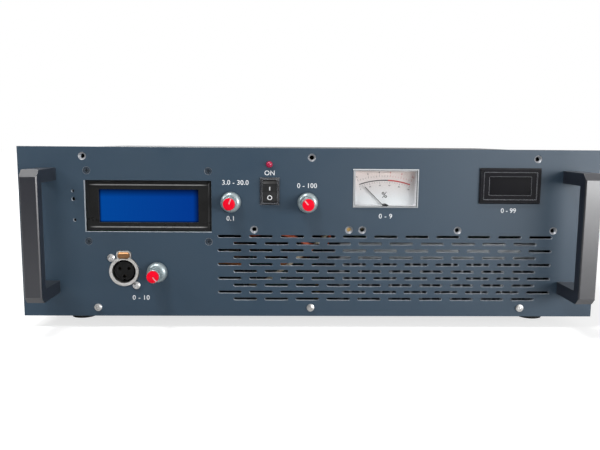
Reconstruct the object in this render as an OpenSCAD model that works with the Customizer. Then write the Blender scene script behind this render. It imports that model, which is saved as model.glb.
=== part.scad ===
// Shortwave transmitter in a full-width case, three rack units high.
// The front faces -Y, the feet stand on Z = 0 and the middle is X = 0. Sizes are in millimetres.
// Positions on the front panel are taken from its middle and its lower edge.

/* [Case] */
// Width of the front panel
panel_width = 450; // [448:1:470]
// Height of the front panel
panel_height = 132.5; // [131.5:0.5:136]
// Thickness of the front panel
panel_thickness = 3; // [2.5:0.1:4]
// Depth of the case behind the front panel
case_depth = 320; // [316:2:380]
// Thickness of the base, cover and side sheets
sheet = 1.5; // [1.2:0.1:2]
// Thickness of the rear panel
rear_thickness = 2; // [1.5:0.1:3]
// How far the front panel stands past the case all round
panel_overlap = 2.5; // [1.5:0.1:3]
// Width of the folded tabs behind the panels
tab_width = 30; // [20:1:36]
// Height of the folded tabs
tab_height = 9.5; // [8.5:0.1:10]
// Width of the side channels' flanges
flange_width = 12; // [10:0.5:13]

/* [Screws] */
// Shank diameter of the small screws
screw_diameter = 3; // [2.5:0.1:3.3]
// Head diameter of the small screws
screw_head = 5.8; // [5.4:0.1:6.2]
// Height of a pan head
screw_head_height = 2; // [1.6:0.1:2.4]
// Length of a screw's thread past the sheets it joins
screw_tail = 3; // [2:0.5:5]
// Clearance of a screw in its hole, on the diameter
screw_clearance = 0.2; // [0.1:0.05:0.5]
// Distance of the outer bottom screws from the panel's ends
bottom_screw_inset = 58; // [53:1:65]
// Height of the bottom screws on the panel
bottom_screw_height = 7; // [6.5:0.1:7.5]
// Distance of the outer top holes from the panel's ends
top_hole_inset = 49.2; // [47:0.2:57]
// Distance of the top holes below the panel's upper edge
top_hole_drop = 7.2; // [6.5:0.1:7.6]
// Height of the row of empty holes in mid panel
middle_hole_height = 69.2; // [68.6:0.1:70]
// Diameter of the empty holes
hole_diameter = 3.4; // [3:0.1:3.8]
// Diameter of their countersinks
countersink_diameter = 6; // [5:0.1:6.4]

/* [Feet] */
// Height of a foot
foot_height = 12.5; // [10:0.5:16]
// Diameter of a foot where it meets the base
foot_diameter = 24; // [20:0.5:28]
// Diameter of a foot on the ground
foot_tip = 20; // [16:0.5:20]
// Distance of the feet from the panel's ends
foot_inset = 35; // [35:1:60]
// Distance of the feet's axes behind the panel's face and before the rear
foot_setback = 39; // [28:1:50]
// Diameter of the screw pocket in a foot
foot_pocket = 9; // [8:0.5:11]

/* [Handles] */
// Distance of the handles' middles from the panel's ends
handle_inset = 22.5; // [20:0.1:26]
// Width of a handle's bar
handle_width = 12.5; // [9:0.5:13]
// Overall height of a handle
handle_height = 97.5; // [90:0.5:100]
// Height of a handle's lower end on the panel
handle_rise = 18.8; // [17.5:0.1:20]
// Distance from the panel's face to the front of the bar
handle_reach = 39; // [34:0.5:45]
// Depth of the bar
handle_bar = 9; // [7:0.5:11]
// Height of a leg
handle_leg = 9.5; // [8:0.5:12]
// Bevel on the outer corners
handle_bevel = 5; // [3:0.5:7]
// Chamfer along the front edges
handle_edge = 0.8; // [0.6:0.1:2]
// Shank diameter of the handle screws
handle_screw = 4; // [3.5:0.1:5]
// Depth of the threaded holes in the legs
handle_thread = 14; // [10:0.5:18]

/* [Display] */
// Middle of the display across the panel
lcd_x = -126.3; // [-130:0.1:-124]
// Middle of the display above the lower edge
lcd_z = 86.9; // [85:0.1:88]
// Width of the bezel
lcd_width = 96.8; // [96:0.1:98]
// Height of the bezel
lcd_height = 39.3; // [38:0.1:41]
// Gap between the bezel and the panel's cut-out
lcd_gap = 0.4; // [0.2:0.1:0.8]
// Depth of the bezel's face below the panel's face
lcd_recess = 2.2; // [1:0.1:2.8]
// Depth of the bezel from its face to the board
lcd_depth = 8.6; // [7:0.1:12]
// Width of the window
lcd_window_width = 76.8; // [74:0.1:78]
// Height of the window
lcd_window_height = 25.8; // [24:0.1:28]
// Width of the bezel's sloped border
lcd_border = 2.3; // [1.5:0.1:3]
// Wall thickness of the bezel
lcd_wall = 1; // [0.8:0.1:1.2]
// Width of the display's board
lcd_board_width = 99; // [99:0.5:102]
// Height of the display's board
lcd_board_height = 61; // [61:0.5:63]
// Thickness of every circuit board
board_thickness = 1.6; // [1.2:0.1:2]
// Distance across between the display's screws
lcd_hole_width = 93; // [92:0.1:94]
// Distance up between the display's screws
lcd_hole_height = 55; // [54:0.1:56]
// Outer diameter of the spacers
spacer_diameter = 5.5; // [5:0.1:6]

/* [Audio socket] */
// Middle of the socket across the panel
xlr_x = -146.2; // [-148:0.1:-144.5]
// Middle of the socket above the lower edge
xlr_z = 35.6; // [34.5:0.1:36.5]
// Outer diameter of the socket's ring
xlr_ring = 22.8; // [22:0.1:23.4]
// Inner diameter of the socket
xlr_bore = 18.4; // [18:0.1:19.4]
// Diameter of the insert
xlr_insert_diameter = 15; // [14:0.1:15.6]
// Depth of the socket's cavity
xlr_cavity = 17; // [15:0.5:20]
// Length of the socket from the panel's back
xlr_length = 22; // [21:0.5:28]
// Width of the push tab
tab_push_width = 9; // [8:0.1:10]
// Height of the push tab
tab_push_height = 4.8; // [4.2:0.1:5.4]
// Travel of the push tab
tab_push_travel = 1.5; // [1:0.1:2]
// Sideways offset of the socket's screws
xlr_screw_x = 9.6; // [9.6:0.1:10]
// Upward offset of the socket's screws
xlr_screw_z = 10.9; // [10.8:0.1:11.4]

/* [Knobs] */
// Audio knob across the panel
audio_x = -120.1; // [-121:0.1:-118]
// Audio knob above the lower edge
audio_z = 35.3; // [34:0.1:37]
// Frequency knob across the panel
frequency_x = -62.4; // [-64:0.1:-60]
// Frequency knob above the lower edge
frequency_z = 90.7; // [89:0.1:92]
// Power knob across the panel
power_x = -3; // [-5:0.1:0]
// Power knob above the lower edge
power_z = 90.5; // [89:0.1:92]
// Diameter of a knob's skirt
knob_diameter = 15.8; // [15.4:0.1:17]
// Height of a knob's body
knob_height = 17; // [15:0.5:20]
// Diameter of a knob's fluted body
knob_body = 10.4; // [10.2:0.1:11]
// Gap between a knob and the panel
knob_gap = 1.2; // [0.9:0.1:2]
// Height of the skirt's straight edge
skirt_edge = 1.6; // [1.2:0.1:2]
// Radius of the skirt's rounded shoulder
skirt_round = 3.4; // [3:0.1:3.8]
// Number of flutes round a knob
flute_count = 18; // [12:1:24]
// Diameter of the red cap
cap_diameter = 9; // [8.4:0.1:9.2]
// How far the cap stands out of the knob
cap_rise = 2.4; // [1.6:0.1:3]
// Diameter of the control shafts
shaft_diameter = 6; // [5.5:0.1:6.35]
// Running clearance of a shaft, on the diameter
shaft_clearance = 0.1; // [0.06:0.02:0.16]
// Outer diameter of the threaded bushing
bushing_diameter = 7.6; // [7.4:0.1:8]
// Width of the bushing's nut across its flats
nut_width = 10; // [9.5:0.1:10.4]
// Diameter of a potentiometer
pot_diameter = 16.5; // [15:0.5:18]
// Depth of a potentiometer or encoder behind the panel
pot_depth = 9; // [8:0.5:12]
// Push travel of the frequency knob
push_travel = 0.5; // [0.3:0.1:0.6]

/* [Switch and lamp] */
// Middle of the switch across the panel
switch_x = -32.4; // [-34:0.1:-30]
// Middle of the switch above the lower edge
switch_z = 99.2; // [98:0.1:100.5]
// Width of the switch's frame
switch_width = 15; // [14.6:0.1:16]
// Height of the switch's frame
switch_height = 21.2; // [21:0.1:22.4]
// Width of the switch's body in the panel
switch_body_width = 12.8; // [12.6:0.1:13.4]
// Height of the switch's body in the panel
switch_body_height = 19.4; // [19.2:0.1:20]
// How far the frame stands on the panel
switch_rise = 1.8; // [1.4:0.1:2.4]
// Depth of the body behind the panel's face
switch_depth = 15; // [13:0.5:20]
// Width of the rocker
rocker_width = 10.6; // [10:0.1:10.8]
// Radius that the rocker's ends keep to
rocker_radius = 8.7; // [8.2:0.1:8.9]
// Tilt of the rocker to each side
rocker_tilt = 10; // [8:0.5:11]
// Gap round the rocker
rocker_gap = 0.3; // [0.2:0.05:0.4]
// Lamp across the panel
lamp_x = -32.7; // [-34:0.1:-30]
// Lamp above the lower edge
lamp_z = 119.8; // [117:0.1:121]
// Diameter of the lamp
lamp_diameter = 5; // [4.8:0.1:5.2]

/* [Meter] */
// Middle of the meter across the panel
meter_x = 57.7; // [56:0.1:60]
// Middle of the meter above the lower edge
meter_z = 101.9; // [100.5:0.1:102.2]
// Width of the clear cover
meter_width = 50.6; // [50:0.1:52]
// Height of the clear cover
meter_height = 29.8; // [29:0.1:30.4]
// How far the cover stands out of the panel
meter_rise = 1; // [0.5:0.1:2]
// Wall of the cover and of the case
meter_wall = 1.2; // [1:0.1:1.5]
// Height of the meter's case behind the panel
meter_case_height = 44; // [43:0.5:48]
// Depth of the meter's case
meter_case_depth = 18; // [17:0.5:22]
// Height of the needle's pivot above the panel's lower edge
pivot_z = 87; // [86.6:0.1:87.6]
// Length of the needle from its pivot
needle_length = 22; // [18:0.5:24]
// Angle of the resting needle left of upright
needle_rest = 45; // [40:1:48]
// Radius of the black cover over the pivot
hub_cover_radius = 2.8; // [2.6:0.1:3.6]

/* [Temperature display] */
// Middle of the temperature display across the panel
thermo_x = 154.5; // [152:0.1:156]
// Middle of the temperature display above the lower edge
thermo_z = 104.4; // [102:0.1:105]
// Width of its frame
thermo_width = 48; // [47:0.1:49]
// Height of its frame
thermo_height = 27.8; // [27:0.1:29]
// How far the frame stands on the panel
thermo_rise = 2.2; // [1.8:0.1:3]
// Depth of its body behind the panel's face
thermo_depth = 16; // [12:0.5:20]
// Width of the frame's lip over the panel
thermo_lip = 1.4; // [1:0.1:1.6]
// Width of the first step in from the edge
thermo_step = 3.3; // [2.8:0.1:3.6]
// Width of its window
thermo_window_width = 32.7; // [30:0.1:34]
// Height of its window
thermo_window_height = 14.3; // [13:0.1:15]

/* [Vents] */
// Middle of the vent field across the panel
vent_x = 58.7; // [57:0.1:60]
// Height of the top row
vent_top = 63.8; // [63:0.1:64]
// Number of rows
vent_rows = 10; // [6:1:10]
// Distance between rows
vent_step = 5.55; // [5:0.05:5.55]
// Slots in the longer rows
vent_slots = 11; // [7:1:11]
// Distance between slots in a row
vent_pitch = 24.5; // [23:0.1:24.6]
// Length of a slot
vent_length = 18.4; // [15:0.1:19]
// Width of a slot
vent_width = 2.2; // [1.6:0.1:2.6]

/* [Heat sink] */
// Gap between the heat sink and the right side channel's flange
sink_side = 17; // [12:1:24]
// Height of the heat sink on its legs
sink_height = 52; // [46:1:54]
// Length of the heat sink
sink_length = 240; // [200:5:260]
// Gap between the front panel and the heat sink
sink_gap = 14; // [13:1:16]
// Thickness of the sink's plate
sink_plate = 12; // [8:0.5:14]
// Thickness of a fin
fin_thickness = 2; // [1.5:0.1:2.5]
// Distance between fins
fin_pitch = 8.3; // [7:0.1:10]
// Gap under the fins
fin_gap = 4; // [3:0.5:8]

/* [Inside] */
// Height of the standoffs under the boards
standoff_height = 8; // [6:0.5:12]
// Width of the control and filter boards
board_width = 104; // [96:1:106]
// Length of the control and filter boards
board_length = 88; // [80:1:90]
// Gap between the power supply, the boards and the heat sink
board_gap = 12; // [10:0.5:16]
// Width of the power supply
supply_width = 98; // [90:1:100]
// Length of the power supply
supply_length = 196; // [180:1:196]
// Height of the power supply
supply_height = 42; // [38:1:45]
// Width of the modulation transformer's core
core_width = 66; // [60:1:72]
// Height of the transformer's core
core_height = 55; // [48:1:58]
// Thickness of the core's stack
core_stack = 24; // [20:1:28]
// Diameter of the wires
wire_diameter = 3; // [2:0.2:3.6]

/* [Rear] */
// Fan above the front panel's lower edge
fan_z = 66; // [62:1:70]
// Width of the fan's frame
fan_width = 80; // [78:0.5:82]
// Depth of the fan
fan_depth = 25; // [24:0.5:28]
// Distance between the fan's screws
fan_hole_pitch = 71.5; // [70:0.1:71.5]
// Number of fan blades
blade_count = 7; // [5:1:9]
// Pitch of the blades
blade_pitch = 38; // [30:1:42]
// Diameter of the fan's hub
fan_hub = 34; // [30:1:36]
// Diameter of the guard's wire
guard_wire = 1.8; // [1.4:0.1:2.2]
// Distance of the mains inlet from the case's left side
inlet_inset = 57.5; // [54:0.5:72]
// Mains inlet above the front panel's lower edge
inlet_z = 88; // [80:1:92]
// Radio-frequency socket across the case
rf_x = -40; // [-60:1:-20]
// Radio-frequency socket above the front panel's lower edge
rf_z = 88; // [84:1:94]
// Thread diameter of the radio-frequency socket
rf_thread = 15.88; // [15:0.01:16]
// Length of the socket past the rear panel
rf_length = 18; // [16:0.5:22]
// Width of the socket's square flange
rf_flange = 25.4; // [24:0.1:26]

/* [Hidden] */
$fn = 48;
tiny = 0.01;
// How far a cut runs past what it cuts
past = 2;
// Cross slot of a screw's head, as shares of the head
slot_length = 0.55;
slot_width = 0.16;

overall_depth = handle_reach + panel_thickness + case_depth + rf_length;
face_y = handle_reach - overall_depth / 2;
back_y = face_y + panel_thickness;
rear_y = back_y + case_depth;
rear_in = rear_y - rear_thickness;
panel_low = foot_height - panel_overlap;
base_top = foot_height + sheet;
cover_top = panel_low + panel_height - panel_overlap;
cover_low = cover_top - sheet;
body_width = panel_width - 2 * panel_overlap;
screw_hole = screw_diameter + screw_clearance;
bottom_screw_spread = panel_width / 2 - bottom_screw_inset;
top_hole_spread = panel_width / 2 - top_hole_inset;
foot_spread = panel_width / 2 - foot_inset;
handle_spread = panel_width / 2 - handle_inset;

// Empty holes along mid panel, and the one with a brass stud behind it
middle_holes = [-44.5, 40, 115, 190.8];
stud_x = 29.6;
stud_length = 12;
// Small unused holes beside the display: across from its middle, up from its middle, diameter
spare_holes = [[-57.5, 11.6, 2.3], [-57.3, 5.4, 3], [-56.7, -10.9, 2.5]];

handle_thread_end = 2;
cover_screw_inset = flange_width / 2 + sheet;
cover_screw_margin = 30;
cover_screw_step = case_depth / 2 - cover_screw_margin;
case_middle = (back_y + rear_in) / 2;

lcd_face = face_y + lcd_recess;
lcd_board_y = lcd_face + lcd_depth;
lcd_slope = 1;
lcd_nut = 2.4;
lcd_nut_width = 6;
nut_tail = 1;
// Gap between two pieces that sit in each other
seat = 0.05;

xlr_proud = 0.6;
xlr_flange_width = 27;
xlr_flange_drop = 15;
xlr_flange_rise = 19.5;
xlr_flange_thickness = 2.2;
xlr_housing_depth = 11;
xlr_panel_gap = 0.4;
push_gap = 0.3;
push_wall = 0.8;
push_round = 2;
push_bevel = 0.8;
push_low = xlr_bore / 2 + push_wall;
push_high = push_low + tab_push_height + 2 * push_gap;
push_proud = tab_push_travel + 0.3;
push_end = 1;
insert_recess = 1.2;
insert_key = [1.8, 2.4];
contact_recess = 8;
contact_diameter = 2.6;
contact_bore = 1.7;
contact_circle = 4.1;
contact_tail = 5;

nut_thickness = 2;
washer_thickness = 0.5;
washer_diameter = 10.8;
bushing_out = 3.2;
knob_pocket = 3.4;
knob_pocket_diameter = 12.6;
shaft_reach = 12;
shaft_step = 0.4;
flute_radius = 0.5;
knob_edge = 0.4;
shaft_flat = 1.5;
shaft_end_gap = 0.5;
lug = [2, 5, 0.8];
lug_pitch = 5;
encoder_pin = [0.5, 3.5];
encoder_pin_pitch = 2.5;
encoder_pin_drop = 5;
cap_seat = 1.5;
cap_fit = 0.05;
cap_crown = 22;
pointer_width = 1;
pointer_depth = 0.35;
audio_pointer = -140;
power_pointer = 40;
frequency_pointer = -20;
shaft_inside = 3;
bore_inside = 5;
// Detent wheel inside the encoder, which the shaft turns and slides through
rotor_start = 2.8;
rotor_length = 3.4;
rotor_gap = 0.3;
rotor_radius = 4.7;
rotor_key = rotor_length + 5 * rotor_gap + push_travel;
encoder_size = [12.4, 13.2];

pivot_y = face_y + 1.4;
rocker_valley = 3.7;
rocker_back = 4;
rocker_cavity = 7.5;
trunnion_radius = 1;
trunnion_clearance = 0.05;
trunnion_length = (switch_body_width - rocker_width) / 2 - rocker_gap;
terminal_size = [6.3, 9, 0.8];
terminal_offset = 5;
switch_edge = 0.8;

lamp_gap = 0.1;
lamp_rise = 3;
lamp_rim = 0.5;
lamp_rim_height = 1;
lead = [0.3, 12];
lead_offset = 1.27;

meter_gap = 0.2;
meter_case_width = meter_width + 2 * meter_wall + 1;
meter_case_top = meter_z + meter_height / 2 + meter_wall;
meter_back = back_y + meter_wall;
dial_y = back_y + 4.4;
dial_thickness = 0.8;
dial_gap = 0.3;
needle_y = back_y + 2.4;
needle_width = 0.5;
needle_thickness = 0.5;
hub_radius = 2;
hub_thickness = 1.4;
arbor_radius = 0.5;
arbor_clearance = 0.05;
arbor_length = 7;
movement_radius = 9;
movement_gap = 0.8;
meter_edge = 0.6;
dial_post = 2;
dial_post_share = 0.42;
dial_post_drop = 6;
hub_gap = 0.5;
needle_set = 0.4;
needle_tail = 5;

thermo_gap = 0.3;
thermo_step_depth = 0.7;
thermo_window_depth = 1.9;
thermo_glass = 1;
thermo_fit = 0.1;
thermo_edge = 1;
clip = [1.4, 7, 8];
clip_tip = 0.2;

inner_half = body_width / 2 - sheet - flange_width;
supply_side = 4;
supply_cover = 3;
supply_x = -inner_half + supply_side + supply_width / 2;
board_x = supply_x + supply_width / 2 + board_gap + supply_cover + board_width / 2;
sink_left = board_x + board_width / 2 + board_gap;
sink_width = inner_half - sink_side - sink_left;
sink_x = sink_left + sink_width / 2;
fan_x = sink_x;
inlet_x = inlet_inset - body_width / 2;
supply_gap = 6;
supply_lift = 5;
supply_inset = 8;
strip_depth = 16;
strip_height = 18;
supply_y = rear_in - supply_gap - supply_length;
control_gap = 34;
control_y = back_y + control_gap;
filter_gap = 30;
filter_y = control_y + board_length + filter_gap;
audio_board_width = supply_width - 2 * supply_cover;
audio_gap = 16;
audio_board_length = supply_y - control_y - audio_gap;
standoff_diameter = 6;
standoff_inset = 5;
board_z = base_top + standoff_height;
sink_y = back_y + sink_gap;
sink_top = base_top + sink_height;
amplifier_side = 14;
amplifier_width = sink_width - 2 * amplifier_side;
amplifier_length = 120;
amplifier_inset = 18;
amplifier_y = sink_y + amplifier_inset;
transistor = [16, 5, 21];
transistor_pitch = amplifier_width / 14 * 3;
transistor_gap = 0.5;
transistor_row = 0.7;
ring_row = 0.35;
ring_share = 0.75;
ring_core = [11, 6, 14];
can = [7, 20];
can_pitch = amplifier_width / 70 * 11;
can_inset = 12;
terminal_block = [10, 40, 10];
terminal_inset = [10, 14];
terminal_x = sink_x - amplifier_width / 2 + terminal_inset[0];
terminal_y = amplifier_y + terminal_inset[1];
core_gap = 12;
winding = 8;
winding_gap = 0.2;
coil_radius = 11;
coil_pitch = [32, 36];
coil_inset = 24;
// Parts on the front boards: sizes, pitches, and places across and back from the boards' front edge
chip = [18, 18, 3];
chip_pitch = 30;
chip_place = [-9, 40];
plug = [10, 10, 9];
plug_place = [-15, 8];
relay = [22, 14, 5];
relay_place = [-10, -26];
small_can = [3.5, 12];
small_can_pitch = 9;
small_can_place = [-42, 72];
large_can = [6, 18];
large_can_pitch = 22;
large_can_place = [-25, 20];
board_blocks = [for (i = [-1 : 1]) [board_x + chip_place[0] + i * chip_pitch, chip_place[1], chip],
                [board_x + plug_place[0], plug_place[1], plug],
                [supply_x + relay_place[0], audio_board_length + relay_place[1], relay]];
board_cans = [for (i = [0 : 3]) [board_x + small_can_place[0] + i * small_can_pitch, small_can_place[1], small_can],
              for (i = [0 : 2]) [supply_x + large_can_place[0] + i * large_can_pitch, large_can_place[1], large_can]];
board_screw_tail = 3;
coil_wire = 4.5;

rear_low = panel_low + panel_overlap;
fan_radius = fan_width / 2 - 2;
fan_shaft = 2;
spider = 3;
strut_width = 5;
bearing = [5, 9];
bearing_end = 1;
rotor_depth = 18;
rotor_wall = 2;
blade_gap = 1.2;
blade_thickness = 1.6;
blade_margin = 1;
// Radii of the guard's rings, as shares of the fan's
guard_rings = [0.3, 0.53, 0.76, 1];
rf_body = 11;
rf_core_diameter = 8.6;
rf_contact = 4;
rf_plate = 1.5;
rf_hole_inset = 3.6;
rf_hole_pitch = rf_flange - 2 * rf_hole_inset;
rf_inside = 6;
rf_wall = 1.6;
rf_mouth = 0.4;
rf_core_recess = 0.1;
rf_tail = 7;
inlet_flange = [50, 24, 3];
inlet_body = [27.4, 19.8];
inlet_cavity = [24.4, 16.6];
inlet_cavity_depth = 16;
inlet_depth = 24;
inlet_corner = 5;
inlet_hole_pitch = 40;
blade = [2, 4];
blade_length = 14;
blade_pitch_x = 7;
blade_tail = 6;
blade_step = 2;
rear_gap = 0.3;

panel_paint = [0.28, 0.35, 0.42];
case_paint = [0.2, 0.21, 0.23];
black = [0.06, 0.06, 0.07];
nickel = [0.72, 0.72, 0.7];
steel = [0.78, 0.78, 0.79];
brass = [0.72, 0.55, 0.26];
red = [0.75, 0.08, 0.09];
board_green = [0.08, 0.33, 0.17];

// Wire routes: across, back from the front panel, up from the base.
// They run from the supply's strip, or the control board's plug, past the slots to the amplifier's terminals.
lead_rise = 7;
strip_lead = supply_y + strip_depth - back_y;
strip_up = strip_height + 4;
strip_out = 28;
plug_x = board_x + plug_place[0] + plug[0] / 2;
plug_back = control_gap + plug_place[1];
lead_back = terminal_y - back_y;
lead_up = sink_height + lead_rise;
red_route = [[supply_x + 28, strip_lead, strip_up], [supply_x + 28, strip_lead - strip_out, strip_up + 1],
             [supply_x + 44, 72, 36], [board_x - 30, 44, 47], [board_x + 2, 14, 60], [board_x + 23.5, 6, 59],
             [board_x + 38, 6, 52.2], [terminal_x - 41, 8, 50.8], [terminal_x - 35, 18, 49.5],
             [terminal_x - 31, 36, 56], [terminal_x - 28, 52, lead_up + 7],
             [terminal_x - 14, lead_back + 16, lead_up], [terminal_x, lead_back + 16, lead_up]];
orange_route = [[supply_x + 18, strip_lead, strip_up], [supply_x + 18, strip_lead - strip_out, strip_up - 1],
                [supply_x + 34, 62, 24], [board_x - 34, 24, 34], [board_x + 2, 14, 31], [board_x + 30, 16, 39.5],
                [terminal_x - 38, 34, 52], [terminal_x - 32, 66, lead_up + 7],
                [terminal_x - 18, lead_back + 28, lead_up], [terminal_x, lead_back + 28, lead_up]];
cream_route = [[terminal_x, lead_back + 4, lead_up], [terminal_x - 12, lead_back + 4, lead_up],
               [terminal_x - 26, 38, lead_up + 4], [terminal_x - 40, 14, 54], [plug_x + 36, 8, 38],
               [plug_x + 17, 8, 24], [plug_x + 4, 18, 16], [plug_x, plug_back - 8, standoff_height + lead_rise],
               [plug_x, plug_back, standoff_height + lead_rise]];
wire_sides = 8;
wire_steps = 5;

// Plate in the panel's plane: children are drawn as (across, up)
module slab(front, depth) {
    translate([0, front + depth, 0]) rotate([90, 0, 0]) linear_extrude(depth) children();
}

// Moves a flat drawing to a place on the front panel
module at(x, z) {
    translate([x, panel_low + z]) children();
}

// Four corners of a rectangle about the middle
module corners(width, height) {
    for (side = [-1, 1], up = [-1, 1]) translate([side * width / 2, up * height / 2]) children();
}

module rod(x, z, front, depth, radius) {
    translate([x, front, z]) rotate([-90, 0, 0]) cylinder(h = depth, r = radius);
}

module block(x, z, front, width, height, depth) {
    slab(front, depth) translate([x, z]) square([width, height], center = true);
}

// Rectangle with round corners, standing on the middle of its lower edge
module rounded(width, height, radius) {
    for (side = [-1, 1], z = [radius, height - radius])
        translate([side * (width / 2 - radius), z]) circle(r = radius);
    translate([radius - width / 2, 0]) square([width - 2 * radius, height]);
    translate([-width / 2, radius]) square([width, height - 2 * radius]);
}

// Block whose front edges slope back all round
module sloped_block(x, z, front, width, height, depth, border, slope) {
    intersection() {
        translate([x, front, z - height / 2]) linear_extrude(height)
            polygon([[-width / 2, depth], [-width / 2, slope], [border - width / 2, 0],
                     [width / 2 - border, 0], [width / 2, slope], [width / 2, depth]]);
        translate([x - width / 2, front, z]) rotate([90, 0, 90]) linear_extrude(width)
            polygon([[depth, -height / 2], [slope, -height / 2], [0, border - height / 2],
                     [0, height / 2 - border], [slope, height / 2], [depth, height / 2]]);
    }
}

module pan_screw(length, diameter = screw_diameter, head = screw_head) {
    crown = head;
    cylinder(h = length, d = diameter);
    difference() {
        translate([0, 0, -screw_head_height]) intersection() {
            cylinder(h = screw_head_height, d = head);
            translate([0, 0, crown]) sphere(r = crown);
        }
        translate([0, 0, -screw_head_height]) cross_slot(head, screw_head_height / 2);
    }
}

// Countersink for a flat head, and the screw that fits it
module head_sink(diameter = screw_head, hole = screw_hole) {
    translate([0, 0, -tiny]) cylinder(h = (diameter - hole) / 2 + tiny, d1 = diameter + 2 * tiny, d2 = hole);
}

module flat_screw(length) {
    difference() {
        union() {
            cylinder(h = length, d = screw_diameter);
            cylinder(h = (screw_head - screw_hole) / 2, d1 = screw_head - screw_clearance, d2 = screw_diameter);
        }
        cross_slot(screw_head, screw_head_height / 2);
    }
}

module cross_slot(head, depth) {
    for (turn = [0, 90])
        rotate([0, 0, turn]) cube([head * slot_length, head * slot_width, 2 * depth], center = true);
}

module front_screw(x, z, face, length) {
    translate([x, face, z]) rotate([-90, 0, 0]) pan_screw(length);
}

module rear_screw(x, z, face, length) {
    translate([x, face, z]) rotate([90, 0, 0]) pan_screw(length);
}

module vent_field() {
    for (row = [0 : vent_rows - 1]) {
        count = vent_slots - row % 2;
        for (i = [0 : count - 1])
            at(vent_x + (i - (count - 1) / 2) * vent_pitch, vent_top - row * vent_step) {
                square([vent_length - vent_width, vent_width], center = true);
                for (side = [-1, 1])
                    translate([side * (vent_length - vent_width) / 2, 0]) circle(d = vent_width);
            }
    }
}

module panel_cutouts() {
    at(lcd_x, lcd_z) square([lcd_width + 2 * lcd_gap, lcd_height + 2 * lcd_gap], center = true);
    at(xlr_x, xlr_z) {
        circle(d = xlr_ring + 2 * xlr_panel_gap);
        housing = tab_push_width + 2 * (push_gap + push_wall + xlr_panel_gap);
        translate([0, push_low - push_wall - xlr_panel_gap])
            rounded(housing, push_high - push_low + 2 * (push_wall + xlr_panel_gap),
                    push_round + push_wall + push_gap);
        for (side = [-1, 1])
            translate([side * xlr_screw_x, -side * xlr_screw_z]) circle(d = screw_hole);
    }
    for (spot = [[audio_x, audio_z], [frequency_x, frequency_z], [power_x, power_z]])
        at(spot[0], spot[1]) circle(d = bushing_diameter + screw_clearance);
    at(switch_x, switch_z)
        square([switch_body_width + screw_clearance, switch_body_height + screw_clearance], center = true);
    at(lamp_x, lamp_z) circle(d = lamp_diameter + lamp_gap);
    at(meter_x, meter_z) square([meter_width + 2 * meter_gap, meter_height + 2 * meter_gap], center = true);
    at(thermo_x, thermo_z)
        square([thermo_width - 2 * thermo_lip, thermo_height - 2 * thermo_lip], center = true);
    at(lcd_x, lcd_z) corners(lcd_hole_width, lcd_hole_height) circle(d = screw_hole);
    at(0, handle_rise + handle_height / 2) corners(2 * handle_spread, handle_height - handle_leg)
        circle(d = handle_screw + screw_clearance);
    for (side = [-1, 0, 1]) {
        at(side * bottom_screw_spread, bottom_screw_height) circle(d = screw_hole);
        at(side * top_hole_spread, panel_height - top_hole_drop) circle(d = hole_diameter);
    }
    for (x = concat(middle_holes, [stud_x])) at(x, middle_hole_height) circle(d = hole_diameter);
    for (spot = spare_holes) at(lcd_x + spot[0], lcd_z + spot[1]) circle(d = spot[2]);
}

module countersink(x, z, diameter, hole) {
    translate([x, face_y, panel_low + z]) rotate([-90, 0, 0]) head_sink(diameter, hole);
}

module front_panel() {
    color(panel_paint) difference() {
        slab(face_y, panel_thickness) difference() {
            at(-panel_width / 2, 0) square([panel_width, panel_height]);
            panel_cutouts();
            vent_field();
        }
        for (side = [-1, 0, 1])
            countersink(side * top_hole_spread, panel_height - top_hole_drop, countersink_diameter, hole_diameter);
        for (x = concat(middle_holes, [stud_x]))
            countersink(x, middle_hole_height, countersink_diameter, hole_diameter);
        lcd_corners(face_y) head_sink();
    }
}

// Tabs folded from the base or the cover, against the front and rear panels
module tabs(low, spread, hole_z, hole) {
    for (front = [back_y, rear_in - sheet], side = [-1, 0, 1])
        slab(front, sheet) difference() {
            translate([side * spread - tab_width / 2, low]) square([tab_width, tab_height]);
            translate([side * spread, hole_z]) circle(d = hole);
        }
}

// Holes through the side channels' flanges and the sheet that lies on them
module side_holes(low, high) {
    side_places() translate([0, 0, low]) cylinder(h = high - low, d = screw_hole);
}

module side_places() {
    for (side = [-1, 1], row = [-1, 0, 1])
        translate([side * (body_width / 2 - cover_screw_inset), case_middle + row * cover_screw_step, 0])
            children();
}

module foot_places() {
    for (side = [-1, 1], y = [face_y + foot_setback, rear_y - foot_setback])
        translate([side * foot_spread, y, 0]) children();
}

module base_plate() {
    color(case_paint) {
        difference() {
            translate([-body_width / 2, back_y, foot_height])
                cube([body_width, rear_in - back_y, sheet]);
            side_holes(foot_height - tiny, base_top + tiny);
            foot_places() translate([0, 0, foot_height - tiny]) cylinder(h = sheet + 2 * tiny, d = screw_hole);
        }
        tabs(foot_height, bottom_screw_spread, panel_low + bottom_screw_height, screw_hole);
    }
}

module top_cover() {
    color(case_paint) {
        difference() {
            translate([-body_width / 2, back_y, cover_low])
                cube([body_width, rear_in - back_y, sheet]);
            side_holes(cover_low - tiny, cover_top + tiny);
            side_places() translate([0, 0, cover_top]) rotate([180, 0, 0]) head_sink();
        }
        tabs(cover_top - tab_height, top_hole_spread, panel_low + panel_height - top_hole_drop, hole_diameter);
    }
}

module side_channel(side) {
    color(case_paint) difference() {
        translate([0, rear_in, 0]) rotate([90, 0, 0]) linear_extrude(rear_in - back_y)
            difference() {
                translate([side * (body_width - flange_width) / 2, (base_top + cover_low) / 2])
                    square([flange_width, cover_low - base_top], center = true);
                translate([side * (body_width - flange_width - sheet * 2) / 2, (base_top + cover_low) / 2])
                    square([flange_width, cover_low - base_top - 2 * sheet], center = true);
            }
        side_holes(base_top - tiny, cover_low + tiny);
    }
}

module side_left() side_channel(-1);
module side_right() side_channel(1);

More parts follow.
